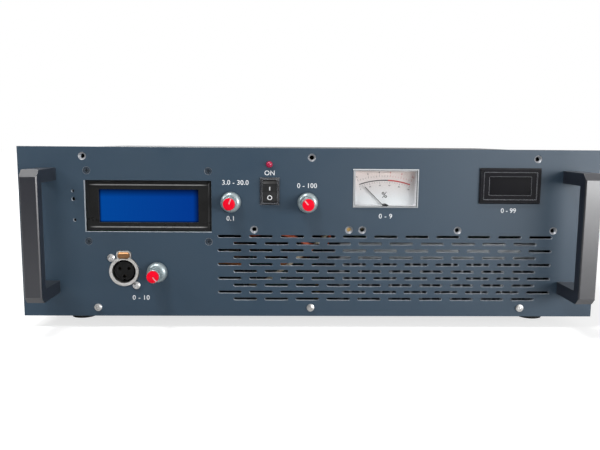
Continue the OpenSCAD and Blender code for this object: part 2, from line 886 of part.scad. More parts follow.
module fan_corners() {
    at(fan_x, fan_z) corners(fan_hole_pitch, fan_hole_pitch) children();
}

module inlet_outline(size, corner) {
    polygon([[-size[0] / 2, size[1] / 2], [size[0] / 2, size[1] / 2], [size[0] / 2, corner - size[1] / 2],
             [size[0] / 2 - corner, -size[1] / 2], [corner - size[0] / 2, -size[1] / 2],
             [-size[0] / 2, corner - size[1] / 2]]);
}

module rear_panel() {
    color(case_paint) slab(rear_in, rear_thickness) difference() {
        translate([-body_width / 2, rear_low]) square([body_width, cover_top - rear_low]);
        at(fan_x, fan_z) circle(r = fan_radius);
        fan_corners() circle(d = screw_hole);
        at(inlet_x, inlet_z) inlet_outline([for (size = inlet_body) size + 2 * rear_gap], inlet_corner);
        for (side = [-1, 1]) at(inlet_x + side * inlet_hole_pitch / 2, inlet_z) circle(d = screw_hole);
        at(rf_x, rf_z) circle(d = rf_body + 2 * rear_gap);
        rf_corners() circle(d = screw_hole);
        for (side = [-1, 0, 1]) {
            at(side * bottom_screw_spread, bottom_screw_height) circle(d = screw_hole);
            at(side * top_hole_spread, panel_height - top_hole_drop) circle(d = screw_hole);
        }
    }
}

module rf_corners() {
    at(rf_x, rf_z) corners(rf_hole_pitch, rf_hole_pitch) children();
}

module case_screws() {
    color(steel) {
        for (side = [-1, 0, 1])
            front_screw(side * bottom_screw_spread, panel_low + bottom_screw_height, face_y,
                        panel_thickness + sheet + screw_tail);
        for (side = [-1, 1])
            front_screw(xlr_x + side * xlr_screw_x, panel_low + xlr_z - side * xlr_screw_z, face_y,
                        panel_thickness + xlr_flange_thickness + screw_tail);
        side_places() {
            translate([0, 0, cover_top]) rotate([180, 0, 0]) flat_screw(2 * sheet + screw_tail);
            translate([0, 0, foot_height]) pan_screw(2 * sheet + screw_tail);
        }
        foot_places() translate([0, 0, foot_height / 2])
            pan_screw(foot_height / 2 + sheet - screw_clearance);
        translate([0, back_y, 0]) rotate([90, 0, 0])
            at(0, handle_rise + handle_height / 2) corners(2 * handle_spread, handle_height - handle_leg)
                pan_screw(panel_thickness + handle_thread - handle_thread_end, handle_screw, 2 * handle_screw);
        rear_screws();
    }
}

module rear_screws() {
    for (side = [-1, 0, 1]) {
        rear_screw(side * bottom_screw_spread, panel_low + bottom_screw_height, rear_y,
                   rear_thickness + sheet + screw_tail);
        rear_screw(side * top_hole_spread, panel_low + panel_height - top_hole_drop, rear_y,
                   rear_thickness + sheet + screw_tail);
    }
    translate([0, rear_y + guard_wire, 0]) rotate([90, 0, 0])
        fan_corners() pan_screw(guard_wire + rear_thickness + fan_depth + screw_tail);
    translate([0, rear_y + rf_plate, 0]) rotate([90, 0, 0])
        rf_corners() pan_screw(rf_plate + rear_thickness + screw_tail);
    for (side = [-1, 1])
        rear_screw(inlet_x + side * inlet_hole_pitch / 2, panel_low + inlet_z, rear_y + inlet_flange[2],
                   inlet_flange[2] + rear_thickness + screw_tail);
}

module feet() {
    color(black) foot_places() difference() {
        cylinder(h = foot_height, d1 = foot_tip, d2 = foot_diameter);
        translate([0, 0, -tiny]) cylinder(h = foot_height / 2 + tiny, d = foot_pocket);
        cylinder(h = foot_height + tiny, d = screw_hole);
    }
}

module handle(side) {
    legs = handle_height - 2 * handle_leg;
    color(black) translate([side * handle_spread, face_y, panel_low + handle_rise]) difference() {
        intersection() {
            translate([-handle_width / 2, 0, 0]) rotate([90, 0, 90]) linear_extrude(handle_width) difference() {
                polygon([[0, 0], [handle_bevel - handle_reach, 0], [-handle_reach, handle_bevel],
                         [-handle_reach, handle_height - handle_bevel],
                         [handle_bevel - handle_reach, handle_height], [0, handle_height]]);
                translate([handle_bar - handle_reach, handle_leg]) square([handle_reach, legs]);
            }
            linear_extrude(handle_height)
                polygon([[-handle_width / 2, 0], [-handle_width / 2, handle_edge - handle_reach],
                         [handle_edge - handle_width / 2, -handle_reach],
                         [handle_width / 2 - handle_edge, -handle_reach],
                         [handle_width / 2, handle_edge - handle_reach], [handle_width / 2, 0]]);
        }
        for (z = [handle_leg / 2, handle_height - handle_leg / 2])
            rod(0, z, -handle_thread, handle_thread + tiny, (handle_screw + screw_clearance) / 2);
    }
}

module handle_left() handle(-1);
module handle_right() handle(1);

// Holds pieces that are drawn upright to the display's corners, pointing back from the given depth
module lcd_corners(front) {
    translate([0, front, 0]) rotate([90, 0, 0])
        at(lcd_x, lcd_z) corners(lcd_hole_width, lcd_hole_height) rotate([180, 0, 0]) children();
}

module lcd_bezel() {
    z = panel_low + lcd_z;
    color(black) difference() {
        sloped_block(lcd_x, z, lcd_face, lcd_width, lcd_height, lcd_depth, lcd_border, lcd_slope);
        block(lcd_x, z, lcd_face - tiny, lcd_window_width, lcd_window_height, lcd_depth);
        block(lcd_x, z, lcd_face + lcd_slope + lcd_wall, lcd_width - 2 * lcd_wall,
              lcd_height - 2 * lcd_wall, lcd_depth);
    }
}

module lcd_glass() {
    front = lcd_face + lcd_slope + lcd_wall;
    color([0.05, 0.22, 0.6])
        block(lcd_x, panel_low + lcd_z, front, lcd_width - 2 * (lcd_wall + seat),
              lcd_height - 2 * (lcd_wall + seat), lcd_board_y - front);
}

module lcd_board() {
    color(board_green) slab(lcd_board_y, board_thickness) difference() {
        at(lcd_x, lcd_z) square([lcd_board_width, lcd_board_height], center = true);
        at(lcd_x, lcd_z) corners(lcd_hole_width, lcd_hole_height) circle(d = screw_hole);
    }
}

module lcd_spacers() {
    color(brass) lcd_corners(back_y) difference() {
        cylinder(h = lcd_board_y - back_y, d = spacer_diameter);
        translate([0, 0, -tiny]) cylinder(h = lcd_board_y - back_y + 2 * tiny, d = screw_hole);
    }
}

module lcd_screws() {
    length = lcd_board_y + board_thickness + lcd_nut + nut_tail - face_y;
    color([0.2, 0.24, 0.28]) lcd_corners(face_y) {
        flat_screw(length);
        translate([0, 0, length - lcd_nut - nut_tail]) cylinder(h = lcd_nut, d = lcd_nut_width, $fn = 6);
    }
}

module xlr_shell() {
    z = panel_low + xlr_z;
    housing = tab_push_width + 2 * (push_gap + push_wall);
    color(nickel) difference() {
        union() {
            rod(xlr_x, z, face_y - xlr_proud, xlr_proud + panel_thickness + xlr_length, xlr_ring / 2);
            slab(face_y - xlr_proud / 2, xlr_proud / 2 + panel_thickness + xlr_housing_depth)
                translate([xlr_x, z + push_low - push_wall])
                    rounded(housing, push_high - push_low + 2 * push_wall, push_round + push_wall);
            slab(back_y, xlr_flange_thickness) translate([xlr_x - xlr_flange_width / 2, z - xlr_flange_drop])
                square([xlr_flange_width, xlr_flange_drop + xlr_flange_rise]);
        }
        rod(xlr_x, z, face_y - past, panel_thickness + xlr_length + 2 * past, xlr_bore / 2);
        slab(face_y - past, panel_thickness + xlr_housing_depth + 2 * past)
            translate([xlr_x, z + push_low])
                rounded(tab_push_width + 2 * push_gap, push_high - push_low, push_round + push_gap);
        for (side = [-1, 1])
            rod(xlr_x + side * xlr_screw_x, z - side * xlr_screw_z, back_y - tiny,
                xlr_flange_thickness + 2 * tiny, screw_hole / 2);
    }
}

module xlr_insert() {
    z = panel_low + xlr_z;
    floor_y = face_y + xlr_cavity;
    end_y = back_y + xlr_length;
    color(black) difference() {
        union() {
            rod(xlr_x, z, floor_y, end_y - floor_y, xlr_bore / 2 - seat);
            rod(xlr_x, z, face_y + insert_recess, xlr_cavity, xlr_insert_diameter / 2);
        }
        contact_places() rod(0, 0, face_y, panel_thickness + xlr_length + past, contact_diameter / 2 + seat);
        block(xlr_x, z - xlr_insert_diameter / 2, face_y, insert_key[0], insert_key[1], xlr_cavity);
    }
}

module contact_places() {
    for (turn = [30, 150, 270])
        translate([xlr_x + contact_circle * cos(turn), 0, panel_low + xlr_z + contact_circle * sin(turn)])
            children();
}

module xlr_contacts() {
    color(brass) contact_places() difference() {
        rod(0, 0, face_y + contact_recess, panel_thickness + xlr_length + contact_tail - contact_recess,
            contact_diameter / 2);
        rod(0, 0, face_y, xlr_cavity, contact_bore / 2);
    }
}

module xlr_latch() {
    low = panel_low + xlr_z + push_low + push_gap;
    length = push_proud + panel_thickness + xlr_housing_depth - tab_push_travel - push_end;
    color([0.6, 0.4, 0.22]) intersection() {
        slab(face_y - push_proud, length)
            translate([xlr_x, low]) rounded(tab_push_width, tab_push_height, push_round);
        translate([xlr_x - tab_push_width / 2, face_y - push_proud, low]) rotate([90, 0, 90])
            linear_extrude(tab_push_width)
                polygon([[0, push_bevel], [push_bevel, 0], [length, 0], [length, tab_push_height],
                         [push_bevel, tab_push_height], [0, tab_push_height - push_bevel]]);
    }
}

module bushing(x, z) {
    rod(x, z, face_y - bushing_out, bushing_out + panel_thickness, bushing_diameter / 2);
    rod(x, z, face_y - washer_thickness, washer_thickness, washer_diameter / 2);
    translate([x, face_y - washer_thickness - nut_thickness, z]) rotate([-90, 0, 0])
        cylinder(h = nut_thickness, d = nut_width / cos(30), $fn = 6);
}

module shaft_bore(x, z) {
    rod(x, z, face_y - bushing_out - past, bushing_out + panel_thickness + past + bore_inside,
        (shaft_diameter + shaft_clearance) / 2);
}

module pot(x, up) {
    z = panel_low + up;
    color(nickel) difference() {
        union() {
            rod(x, z, back_y, pot_depth, pot_diameter / 2);
            bushing(x, z);
            for (side = [-1, 0, 1])
                slab(back_y + pot_depth / 2, lug[2])
                    translate([x + side * lug_pitch - lug[0] / 2, z - pot_diameter / 2 - lug[1]])
                        square([lug[0], pot_diameter / 2]);
        }
        shaft_bore(x, z);
    }
}

module audio_pot() pot(audio_x, audio_z);
module power_pot() pot(power_x, power_z);

module frequency_encoder() {
    z = panel_low + frequency_z;
    color(nickel) difference() {
        union() {
            block(frequency_x, z, back_y, encoder_size[0], encoder_size[1], pot_depth);
            bushing(frequency_x, z);
            for (side = [-1, 0, 1])
                rod(frequency_x + side * encoder_pin_pitch, z - encoder_pin_drop, back_y + pot_depth,
                    encoder_pin[1], encoder_pin[0]);
        }
        shaft_bore(frequency_x, z);
        rod(frequency_x, z, back_y + rotor_start - rotor_gap, rotor_length + 2 * rotor_gap,
            rotor_radius + rotor_gap);
        rod(frequency_x, z, back_y, rotor_start + rotor_key, (shaft_diameter + shaft_clearance) / 2);
    }
}

module frequency_rotor() {
    color(brass) translate([frequency_x, back_y + rotor_start + rotor_length, panel_low + frequency_z])
        rotate([90, 0, 0]) difference() {
            cylinder(h = rotor_length, r = rotor_radius);
            translate([0, 0, -tiny]) linear_extrude(rotor_length + 2 * tiny)
                flat_circle(shaft_diameter + shaft_clearance, shaft_flat);
        }
}

// Round shaft with a flat, cut at the given height above its axis
module flat_circle(diameter, flat) {
    intersection() {
        circle(d = diameter);
        translate([-diameter, -diameter]) square([2 * diameter, 1.5 * diameter - flat]);
    }
}

// Shaft with a flat for the knob; inside is its round length behind the panel, key its inner flat length
module shaft(x, up, inside, key) {
    start = knob_gap + knob_pocket - shaft_step;
    color(steel) translate([x, face_y, panel_low + up]) rotate([90, 0, 0]) {
        translate([0, 0, -panel_thickness - inside])
            cylinder(h = panel_thickness + inside + start, d = shaft_diameter);
        translate([0, 0, start]) linear_extrude(shaft_reach - knob_pocket)
            flat_circle(shaft_diameter, shaft_flat);
        if (key > 0) translate([0, 0, -panel_thickness - inside - key]) linear_extrude(key)
            flat_circle(shaft_diameter, shaft_flat);
    }
}

module audio_shaft() shaft(audio_x, audio_z, shaft_inside, 0);
module power_shaft() shaft(power_x, power_z, shaft_inside, 0);
module frequency_shaft() shaft(frequency_x, frequency_z, rotor_start - rotor_gap - push_travel, rotor_key);

module knob(x, up) {
    skirt = knob_diameter / 2;
    body = knob_body / 2;
    shoulder = skirt_edge + skirt_round;
    color([0.6, 0.61, 0.62]) translate([x, face_y - knob_gap, panel_low + up]) rotate([90, 0, 0]) difference() {
        rotate_extrude() {
            square([skirt, skirt_edge]);
            intersection() {
                translate([skirt - skirt_round, skirt_edge]) circle(r = skirt_round);
                square([skirt, shoulder]);
            }
            polygon([[0, 0], [body, 0], [body, knob_height - knob_edge], [body - knob_edge, knob_height],
                     [0, knob_height]]);
        }
        for (i = [0 : flute_count - 1])
            rotate([0, 0, i * 360 / flute_count]) translate([body + flute_radius / 4, 0, shoulder])
                cylinder(h = knob_height, r = flute_radius);
        translate([0, 0, -tiny]) cylinder(h = knob_pocket + tiny, d = knob_pocket_diameter);
        linear_extrude(shaft_reach + shaft_end_gap) flat_circle(shaft_diameter + shaft_clearance, shaft_flat);
        translate([0, 0, knob_height - cap_seat]) cylinder(h = knob_height, d = cap_diameter + 2 * cap_fit);
    }
}

module cap(x, up, pointer) {
    top = knob_height + cap_rise;
    color(red) translate([x, face_y - knob_gap, panel_low + up]) rotate([90, 0, 0]) rotate([0, 0, pointer])
        difference() {
            intersection() {
                translate([0, 0, knob_height - cap_seat]) cylinder(h = cap_seat + cap_rise, d = cap_diameter);
                translate([0, 0, top - cap_crown]) sphere(r = cap_crown);
            }
            translate([-pointer_width / 2, 0, top - 2 * pointer_depth])
                cube([pointer_width, cap_diameter, cap_rise]);
        }
}

module audio_knob() knob(audio_x, audio_z);
module power_knob() knob(power_x, power_z);
module frequency_knob() knob(frequency_x, frequency_z);
module audio_cap() cap(audio_x, audio_z, audio_pointer);
module power_cap() cap(power_x, power_z, power_pointer);
module frequency_cap() cap(frequency_x, frequency_z, frequency_pointer);

module switch_body() {
    z = panel_low + switch_z;
    opening = [rocker_width + 2 * rocker_gap, 2 * (rocker_radius + rocker_gap)];
    color(black) difference() {
        union() {
            sloped_block(switch_x, z, face_y - switch_rise, switch_width, switch_height, switch_rise, switch_edge,
                         switch_edge);
            block(switch_x, z, face_y - tiny, switch_body_width, switch_body_height, switch_depth);
            for (side = [-1, 1])
                translate([switch_x, face_y + switch_depth, z + side * terminal_offset])
                    cube([terminal_size[0], 2 * terminal_size[1], terminal_size[2]], center = true);
        }
        block(switch_x, z, face_y - switch_rise - past, opening[0], opening[1], switch_rise + past + rocker_cavity);
        translate([switch_x - switch_width / 2, pivot_y, z]) rotate([0, 90, 0])
            cylinder(h = switch_width, r = trunnion_radius + trunnion_clearance);
    }
}

module switch_rocker() {
    rise = rocker_radius * tan(rocker_tilt);
    color(black) translate([switch_x, pivot_y, panel_low + switch_z]) {
        translate([-rocker_width / 2, 0, 0]) rotate([90, 0, 90]) linear_extrude(rocker_width)
            rotate(rocker_tilt) intersection() {
                circle(r = rocker_radius);
                polygon([[-rocker_valley, 0], [-rocker_valley - rise, rocker_radius],
                         [rocker_back, rocker_radius], [rocker_back, -rocker_radius],
                         [-rocker_valley - rise, -rocker_radius]]);
            }
        translate([-rocker_width / 2 - trunnion_length, 0, 0]) rotate([0, 90, 0])
            cylinder(h = rocker_width + 2 * trunnion_length, r = trunnion_radius);
    }
}

module transmit_lamp() {
    radius = lamp_diameter / 2;
    straight = lamp_rise - radius + panel_thickness;
    color(red) translate([lamp_x, back_y, panel_low + lamp_z]) rotate([90, 0, 0]) {
        rotate_extrude() {
            translate([0, -lamp_rim_height]) square([radius + lamp_rim, lamp_rim_height]);
            translate([0, -lamp_rim_height]) square([radius, straight + lamp_rim_height]);
            intersection() {
                translate([0, straight]) circle(r = radius);
                translate([0, straight - tiny]) square(radius + tiny);
            }
        }
        for (side = [-1, 1]) translate([side * lead_offset, 0, -lead[1]]) cylinder(h = lead[1], r = lead[0]);
    }
}

// Outline of the meter's case, and of the cover's flange on it
module meter_outline(inset) {
    at(meter_x - meter_case_width / 2 + inset, meter_case_top - meter_case_height + inset)
        square([meter_case_width - 2 * inset, meter_case_height - 2 * inset]);
}

module meter_case() {
    inside = meter_case_depth - meter_wall;
    dial_back = dial_y + dial_thickness;
    z = panel_low + pivot_z;
    color(black) difference() {
        union() {
            slab(meter_back, meter_case_depth) difference() {
                meter_outline(0);
                meter_outline(meter_wall);
            }
            slab(meter_back + inside, meter_wall) meter_outline(0);
            for (side = [-1, 1], up = [-1, 1])
                rod(meter_x + side * meter_width * dial_post_share,
                    panel_low + meter_z - dial_post_drop + up * meter_height * dial_post_share,
                    dial_back, meter_back + inside - dial_back + tiny, dial_post);
            rod(meter_x, z, dial_back + movement_gap, meter_back + inside - dial_back - movement_gap + tiny,
                movement_radius);
        }
        rod(meter_x, z, dial_back, arbor_length, arbor_radius + arbor_clearance);
    }
}

module meter_cover() {
    z = panel_low + meter_z;
    depth = meter_rise + panel_thickness + meter_wall;
    color([0.85, 0.9, 0.92, 0.4]) difference() {
        union() {
            sloped_block(meter_x, z, face_y - meter_rise, meter_width, meter_height, depth, meter_edge,
                         meter_edge);
            slab(back_y, meter_wall) meter_outline(0);
        }
        block(meter_x, z, face_y - meter_rise + meter_wall, meter_width - 2 * meter_wall,
              meter_height - 2 * meter_wall, depth);
    }
}

module meter_dial() {
    color([0.93, 0.93, 0.9]) slab(dial_y, dial_thickness) difference() {
        meter_outline(meter_wall + dial_gap);
        at(meter_x, pivot_z) circle(r = hub_radius + hub_gap);
    }
}

module meter_needle() {
    color(black) translate([meter_x, needle_y, panel_low + pivot_z]) {
        rotate([-90, 0, 0]) cylinder(h = hub_thickness, r = hub_radius);
        rotate([-90, 0, 0])
            cylinder(h = dial_y + dial_thickness - needle_y + arbor_length - hub_gap, r = arbor_radius);
        rotate([0, -needle_rest, 0]) {
            translate([-needle_width / 2, needle_set, 0]) cube([needle_width, needle_thickness, needle_length]);
            translate([-needle_width, needle_set, -needle_tail])
                cube([2 * needle_width, needle_thickness, needle_tail]);
        }
    }
}

module meter_hub_cover() {
    z = panel_low + meter_z;
    front = face_y - meter_rise + meter_wall;
    color(black) intersection() {
        rod(meter_x, panel_low + pivot_z, front, needle_y - hub_gap - front, hub_cover_radius);
        block(meter_x, z, front - past, meter_width - 2 * meter_wall, meter_height - 2 * meter_wall,
              needle_y - front + past);
    }
}

module thermometer_case() {
    z = panel_low + thermo_z;
    front = face_y - thermo_rise;
    color(black) difference() {
        union() {
            sloped_block(thermo_x, z, front, thermo_width, thermo_height, thermo_rise, thermo_edge,
                         thermo_edge);
            block(thermo_x, z, face_y - tiny, thermo_width - 2 * (thermo_lip + thermo_gap),
                  thermo_height - 2 * (thermo_lip + thermo_gap), thermo_depth + tiny);
            for (side = [-1, 1])
                translate([thermo_x + side * (thermo_width / 2 - thermo_lip - thermo_gap - tiny), back_y + clip_tip,
                           z - clip[2] / 2]) linear_extrude(clip[2])
                    polygon([[0, 0], [side * clip[0], 0], [side * clip_tip, clip[1]], [0, clip[1]]]);
        }
        block(thermo_x, z, front - past, thermo_width - 2 * thermo_step, thermo_height - 2 * thermo_step,
              thermo_step_depth + past);
        block(thermo_x, z, front - past, thermo_window_width, thermo_window_height,
              thermo_step_depth + thermo_window_depth + past);
    }
}

module thermometer_window() {
    color([0.17, 0.17, 0.19])
        block(thermo_x, panel_low + thermo_z,
              face_y - thermo_rise + thermo_step_depth + thermo_window_depth - thermo_glass,
              thermo_window_width - 2 * thermo_fit, thermo_window_height - 2 * thermo_fit, thermo_glass);
}

module heat_sink() {
    fins = floor((sink_width - 8 * fin_thickness) / fin_pitch / 2);
    color([0.75, 0.76, 0.77]) slab(sink_y, sink_length) {
        translate([sink_x - sink_width / 2, sink_top - sink_plate]) square([sink_width, sink_plate]);
        for (i = [-fins : fins])
            translate([sink_x + i * fin_pitch - fin_thickness / 2, base_top + fin_gap])
                square([fin_thickness, sink_height - fin_gap - sink_plate / 2]);
        for (side = [-1, 1])
            translate([sink_x + side * (sink_width / 2 - fin_thickness) - fin_thickness, base_top])
                square([2 * fin_thickness, sink_height - sink_plate / 2]);
    }
}

module transistor_places() {
    for (i = [-1.5 : 1 : 1.5])
        translate([sink_x + i * transistor_pitch, amplifier_y + amplifier_length * transistor_row, sink_top])
            children();
}

module amplifier_board() {
    color(board_green) difference() {
        translate([sink_x - amplifier_width / 2, amplifier_y, sink_top])
            cube([amplifier_width, amplifier_length, board_thickness]);
        transistor_places()
            translate([-transistor[0] / 2 - transistor_gap, -transistor[2] / 2 - transistor_gap, -tiny])
                cube([transistor[0] + 2 * transistor_gap, transistor[2] + 2 * transistor_gap,
                      board_thickness + 2 * tiny]);
    }
}

module amplifier_parts() {
    top = sink_top + board_thickness;
    color(black) {
        transistor_places() translate([-transistor[0] / 2, -transistor[2] / 2, 0])
            cube([transistor[0], transistor[2], transistor[1]]);
        for (side = [-1, 1])
            translate([sink_x + side * ring_share * transistor_pitch, amplifier_y + amplifier_length * ring_row, top])
                difference() {
                    cylinder(h = ring_core[2], r = ring_core[0]);
                    translate([0, 0, -tiny]) cylinder(h = ring_core[2] + 2 * tiny, r = ring_core[1]);
                }
        for (i = [-1, 0, 1])
            translate([sink_x + i * can_pitch, amplifier_y + can_inset, top]) cylinder(h = can[1], r = can[0]);
        translate([terminal_x, terminal_y, top]) cube(terminal_block);
    }
}

// Boards on the base: middle across, front edge, width, length
function boards() = [[board_x, control_y, board_width, board_length],
                     [board_x, filter_y, board_width, board_length],
                     [supply_x, control_y, audio_board_width, audio_board_length]];

module board_corners(place) {
    for (side = [-1, 1], y = [standoff_inset, place[3] - standoff_inset])
        translate([place[0] + side * (place[2] / 2 - standoff_inset), place[1] + y, 0]) children();
}

module circuit_boards() {
    color(board_green) for (place = boards()) difference() {
        translate([place[0] - place[2] / 2, place[1], board_z])
            cube([place[2], place[3], board_thickness]);
        board_corners(place) translate([0, 0, board_z - tiny])
            cylinder(h = board_thickness + 2 * tiny, d = screw_hole);
    }
}

module board_standoffs() {
    color(brass) {
        for (place = boards()) board_corners(place) {
            translate([0, 0, base_top]) cylinder(h = standoff_height, d = standoff_diameter);
            translate([0, 0, board_z - tiny]) cylinder(h = board_thickness + board_screw_tail, d = screw_diameter);
        }
        rod(stud_x, panel_low + middle_hole_height, back_y, stud_length, standoff_diameter / 2);
    }
}

module board_parts() {
    color(black) translate([0, control_y, board_z + board_thickness]) {
        for (part = board_blocks) translate([part[0], part[1], 0]) cube(part[2]);
        for (part = board_cans) translate([part[0], part[1], 0]) cylinder(h = part[2][1], r = part[2][0]);
    }
}

module filter_coils() {
    color([0.75, 0.4, 0.2]) for (row = [0, 1], i = [-1, 0, 1])
        translate([board_x + i * coil_pitch[0], filter_y + coil_inset + row * coil_pitch[1],
                   board_z + board_thickness + coil_wire + seat])
            rotate_extrude() translate([coil_radius, 0]) circle(r = coil_wire);
}

module modulation_transformer() {
    leg = core_width / 6;
    y = filter_y + board_length + core_gap;
    color([0.35, 0.34, 0.33]) {
        slab(y, core_stack) translate([board_x, base_top]) difference() {
            translate([-core_width / 2, 0]) square([core_width, core_height]);
            for (side = [-1, 1])
                translate([side * core_width / 4 - leg / 2, leg]) square([leg, core_height - 2 * leg]);
        }
        difference() {
            block(board_x, base_top + core_height / 2, y - winding, core_width / 2 + leg - 2 * winding_gap,
                  core_height - 2 * (leg + winding_gap), core_stack + 2 * winding);
            block(board_x, base_top + core_height / 2, y - winding_gap, core_width / 2 - leg + 2 * winding_gap,
                  core_height, core_stack + 2 * winding_gap);
        }
    }
}

module power_supply() {
    color([0.7, 0.71, 0.72]) translate([supply_x - supply_width / 2, supply_y, base_top]) {
        difference() {
            translate([0, 0, supply_lift]) cube([supply_width, supply_length, supply_height - supply_lift]);
            translate([sheet, -tiny, strip_height])
                cube([supply_width - 2 * sheet, strip_depth, supply_height]);
        }
        for (x = [supply_inset, supply_width - supply_inset], y = [supply_inset, supply_length - supply_inset])
            translate([x, y, 0]) cylinder(h = supply_lift + tiny, d = standoff_diameter);
    }
}

// Smooth curve through a route's points, with straight ends
function curve_point(a, b, c, d, t) =
    0.5 * (2 * b + (c - a) * t + (2 * a - 5 * b + 4 * c - d) * t * t + (3 * b - a - 3 * c + d) * t * t * t);

function route_point(route, i) = i < 0 ? 2 * route[0] - route[1]
    : i >= len(route) ? 2 * route[len(route) - 1] - route[len(route) - 2] : route[i];

function smooth_route(route) = concat(
    [for (i = [0 : len(route) - 2], s = [0 : wire_steps - 1])
        curve_point(route_point(route, i - 1), route[i], route[i + 1], route_point(route, i + 2), s / wire_steps)],
    [route[len(route) - 1]]);

function unit(v) = v / norm(v);

function heading(path, i) = unit(path[min(i + 1, len(path) - 1)] - path[max(i - 1, 0)]);

function wire_ring(path, i, radius) =
    let (along = heading(path, i), across = unit(cross(along, [0.1, 0.35, 1])), up = cross(across, along))
    [for (s = [0 : wire_sides - 1])
        path[i] + radius * (cos(s * 360 / wire_sides) * across + sin(s * 360 / wire_sides) * up)];

module wire(route) {
    path = smooth_route(route);
    count = len(path);
    points = [for (i = [0 : count - 1]) each wire_ring(path, i, wire_diameter / 2)];
    sides = [for (i = [0 : count - 2], s = [0 : wire_sides - 1])
        let (a = i * wire_sides + s, b = i * wire_sides + (s + 1) % wire_sides)
        each [[a, b, a + wire_sides], [b, b + wire_sides, a + wire_sides]]];
    last = (count - 1) * wire_sides;
    caps = [for (s = [1 : wire_sides - 2]) each [[0, s + 1, s], [last, last + s, last + s + 1]]];
    translate([0, back_y, base_top]) polyhedron(points, concat(sides, caps));
}

module red_wires() {
    color(red) {
        wire(red_route);
        wire(orange_route);
    }
}

module cream_wire() color([0.9, 0.85, 0.7]) wire(cream_route);

module fan_frame() {
    hub = fan_hub / 2;
    color(black) difference() {
        union() {
            slab(rear_in - fan_depth, fan_depth) difference() {
                at(fan_x, fan_z) square(fan_width, center = true);
                at(fan_x, fan_z) circle(r = fan_radius);
                fan_corners() circle(d = screw_hole);
            }
            slab(rear_in - spider, spider) at(fan_x, fan_z) {
                circle(r = hub);
                for (turn = [0, 90]) rotate(turn) square([2 * fan_radius + past, strut_width], center = true);
            }
            rod(fan_x, panel_low + fan_z, rear_in - spider - bearing[1], bearing[1] + tiny, bearing[0]);
        }
        rod(fan_x, panel_low + fan_z, rear_in - spider - bearing[1] - tiny, bearing[1] + spider - bearing_end,
            fan_shaft + shaft_clearance / 2);
    }
}

module fan_rotor() {
    hub = fan_hub / 2;
    tip = fan_radius - blade_gap;
    color(black) translate([fan_x, rear_in - fan_depth + rotor_wall, panel_low + fan_z]) rotate([-90, 0, 0]) {
        difference() {
            cylinder(h = rotor_depth, r = hub);
            translate([0, 0, rotor_wall]) cylinder(h = rotor_depth, r = hub - rotor_wall);
        }
        cylinder(h = fan_depth - rotor_wall - spider, r = fan_shaft);
        difference() {
            intersection() {
                translate([0, 0, blade_margin]) cylinder(h = rotor_depth - 2 * blade_margin, r = tip);
                for (i = [0 : blade_count - 1])
                    rotate([0, 0, i * 360 / blade_count]) translate([tip / 2, 0, rotor_depth / 2])
                        rotate([blade_pitch, 0, 0]) cube([tip, 2 * rotor_depth, blade_thickness], center = true);
            }
            cylinder(h = rotor_depth, r = hub - blade_margin);
        }
    }
}

module fan_guard() {
    radius = guard_wire / 2;
    corner = fan_hole_pitch / sqrt(2);
    eye = screw_hole / 2 + radius;
    inner = fan_radius * guard_rings[0];
    color(steel) translate([fan_x, rear_y + radius, panel_low + fan_z]) rotate([-90, 0, 0]) {
        for (ring = guard_rings)
            translate([0, 0, radius]) rotate_extrude() translate([ring * fan_radius, 0]) circle(r = radius);
        for (turn = [45, 135, 225, 315]) rotate([0, 0, turn]) {
            translate([inner, 0, 0]) rotate([0, 90, 0]) cylinder(h = corner - eye - inner, r = radius);
            translate([corner, 0, 0]) rotate_extrude() translate([eye, 0]) circle(r = radius);
        }
    }
}

module mains_inlet() {
    color(black) difference() {
        union() {
            slab(rear_y, inlet_flange[2]) difference() {
                at(inlet_x, inlet_z) square([inlet_flange[0], inlet_flange[1]], center = true);
                for (side = [-1, 1]) at(inlet_x + side * inlet_hole_pitch / 2, inlet_z) circle(d = screw_hole);
            }
            slab(rear_y - inlet_depth, inlet_depth + tiny) at(inlet_x, inlet_z)
                inlet_outline(inlet_body, inlet_corner);
        }
        slab(rear_y + inlet_flange[2] - inlet_cavity_depth, inlet_cavity_depth + 1) at(inlet_x, inlet_z)
            inlet_outline(inlet_cavity, inlet_corner);
        mains_blades(seat);
    }
}

module mains_blades(gap) {
    front = rear_y + inlet_flange[2] - inlet_cavity_depth;
    slab(rear_y - inlet_depth - blade_tail, front + blade_length - rear_y + inlet_depth + blade_tail)
        for (i = [-1, 0, 1])
            at(inlet_x + i * blade_pitch_x, inlet_z + (i == 0 ? blade_step : -blade_step))
                square([blade[0] + 2 * gap, blade[1] + 2 * gap], center = true);
}

module mains_pins() color(nickel) mains_blades(0);

module rf_socket() {
    z = panel_low + rf_z;
    color(nickel) difference() {
        union() {
            slab(rear_y, rf_plate) difference() {
                at(rf_x, rf_z) square(rf_flange, center = true);
                rf_corners() circle(d = screw_hole);
            }
            rod(rf_x, z, rear_y, rf_length, rf_thread / 2);
            rod(rf_x, z, rear_in - rf_inside, rear_thickness + rf_inside + tiny, rf_body / 2);
        }
        rod(rf_x, z, rear_y + rf_length * rf_mouth, rf_length, rf_thread / 2 - rf_wall);
        rod(rf_x, z, rear_in - rf_inside - past, rf_length + rf_inside + past, rf_core_diameter / 2);
    }
}

module rf_core() {
    z = panel_low + rf_z;
    color([0.92, 0.9, 0.86]) difference() {
        union() {
            rod(rf_x, z, rear_in - rf_inside - past, rear_thickness + rf_inside + past + rf_length * rf_mouth,
                rf_core_diameter / 2 - seat);
            rod(rf_x, z, rear_in - rf_inside - past - rf_tail, rf_tail + tiny, rf_contact / 3);
        }
        rod(rf_x, z, rear_y + rf_length * rf_core_recess, rf_length, rf_contact / 2);
    }
}

